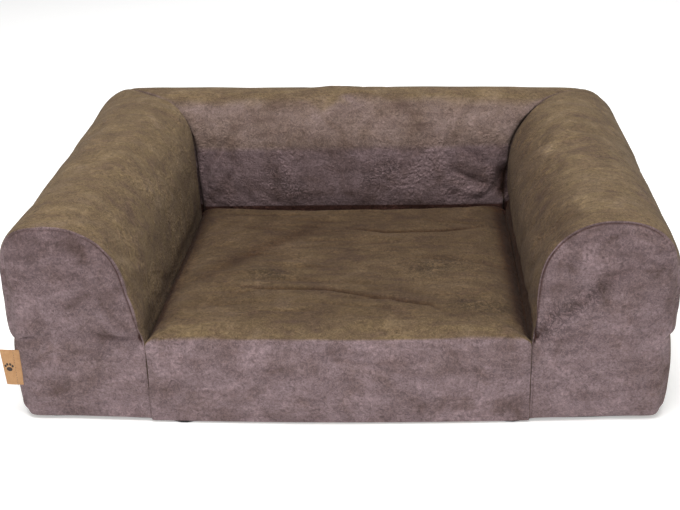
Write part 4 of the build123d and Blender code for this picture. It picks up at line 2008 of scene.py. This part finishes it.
@dataclass(frozen=True)
class Lamp:
    """A soft rectangular lamp that points at the bed.

    Attributes:
        name: its name.
        place: where it hangs.
        width: its width.
        height: its height.
        power: its power in watts.
        colour: its colour.
    """

    name: str
    place: Place
    width: float
    height: float
    power: float
    colour: Colour = (1.0, 1.0, 1.0)

    def hang(self, target: Vector) -> None:
        """Add the lamp to the scene."""
        data = bpy.data.lights.new(self.name, "AREA")
        data.shape = "RECTANGLE"
        data.size = self.width
        data.size_y = self.height
        data.energy = self.power
        data.color = self.colour
        lamp = new_object(self.name, data)
        lamp.location = self.place
        lamp.rotation_euler = (target - Vector(self.place)).to_track_quat("-Z", "Y").to_euler()


@dataclass(frozen=True)
class Camera:
    """The camera's place and the way that it faces.

    Attributes:
        place: the camera's place.
        down: tilt below the horizon, in degrees.
        left: turn to the left of +Y, in degrees.
        roll: roll, in degrees.
        lens: focal length in millimetres, on a sensor 36 mm wide.
    """

    place: Place = (0.092, -1.534, 0.742)
    down: float = 23.05
    left: float = 3.89
    roll: float = 1.97
    lens: float = 63.45

    def set_up(self) -> None:
        """Make this the scene's camera."""
        down, left, roll = (math.radians(v) for v in (self.down, self.left, self.roll))
        level_right = Vector((math.cos(left), math.sin(left), 0.0))
        level_ahead = Vector((-math.sin(left), math.cos(left), 0.0))
        ahead = level_ahead * math.cos(down) - Vector((0, 0, 1)) * math.sin(down)
        level_down = -(Vector((0, 0, 1)) * math.cos(down) + level_ahead * math.sin(down))
        right = level_right * math.cos(roll) + level_down * math.sin(roll)
        below = level_down * math.cos(roll) - level_right * math.sin(roll)
        turn = Matrix((right, -below, -ahead)).transposed()
        data = bpy.data.cameras.new("camera")
        data.lens = self.lens
        data.sensor_width = 36.0
        camera = new_object("camera", data)
        camera.matrix_world = Matrix.Translation(self.place) @ turn.to_4x4()
        bpy.context.scene.camera = camera


@dataclass
class Studio:
    """A pale floor, soft lamps and the camera."""

    floor_half: float = 6.0
    world_strength: float = 0.40
    floor_glow: float = 0.32
    target: Place = (0.0, 0.0, 0.12)

    def build(self) -> None:
        """Set up the floor, the lamps, the world and the camera."""
        scene = bpy.context.scene
        scene.view_settings.view_transform = "Standard"
        self._floor()
        for lamp in (Lamp("overhead", (-0.10, -0.55, 2.3), 1.6, 1.2, 58.0, (1.0, 0.985, 0.96)),
                     Lamp("front_fill", (0.0, -2.8, 1.1), 2.4, 1.4, 22.0),
                     Lamp("behind", (0.0, 2.2, 1.8), 2.4, 1.2, 12.0)):
            lamp.hang(Vector(self.target))
        world = bpy.data.worlds.new("studio")
        world.use_nodes = True
        graph = Graph(world.node_tree)
        light = graph.add("ShaderNodeBackground", {0: (1.0, 1.0, 1.0, 1.0), 1: self.world_strength})
        graph.add("ShaderNodeOutputWorld", {0: light.outputs[0]})
        scene.world = world
        Camera().set_up()

    def _floor(self) -> None:
        """Lay the pale floor."""
        half = self.floor_half
        corners = [(-half, -half, 0), (half, -half, 0), (half, half, 0), (-half, half, 0)]
        mesh = new_mesh("floor", corners, [], [(0, 1, 2, 3)])
        material, graph = new_material("pale_floor")
        surface(graph, {"Base Color": (0.86, 0.86, 0.86, 1.0), "Roughness": 0.9, "Specular IOR Level": 0.1,
                        "Emission Color": (1.0, 1.0, 1.0, 1.0), "Emission Strength": self.floor_glow})
        mesh.materials.append(material)
        floor = new_object("floor", mesh)
        floor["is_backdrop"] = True


def report(pieces: Sequence[Object]) -> None:
    """Log each piece with its size."""
    for piece in pieces:
        points = coordinates(piece)
        size = (points.max(axis=0) - points.min(axis=0)) * 1000
        LOG.info("%s: %d faces, %.0f x %.0f x %.0f mm", piece.name, len(piece.data.polygons), *size)


def main() -> None:
    """Build the bed, piece by piece, and the studio round it."""
    logging.basicConfig(level=logging.INFO, format="%(name)s: %(message)s")
    sizes = BedSizes.from_frame()
    plan = Plan(sizes)
    finishes = Finishes()
    stitches = stitch_tool()
    report([SeatBase(sizes, plan, finishes).build()])
    for side in Side:
        report([Arm(sizes, plan, finishes, side=side).build()])
    report([Backrest(sizes, plan, finishes).build()])
    report(RearPanels(sizes, plan, finishes, stitches).build())
    report(Underside(sizes, plan, finishes, dot_tool()).build())
    report(Label(finishes, stitches).build())
    report(Zip(finishes, coil_tool()).build())
    Studio().build()
    dressed_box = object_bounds()
    boxes = {"cad": cad_box, "visual": dressed_box}
    {name: [list(corner) for corner in box] for name, box in boxes.items()}


if __name__ == "__main__":
    main()
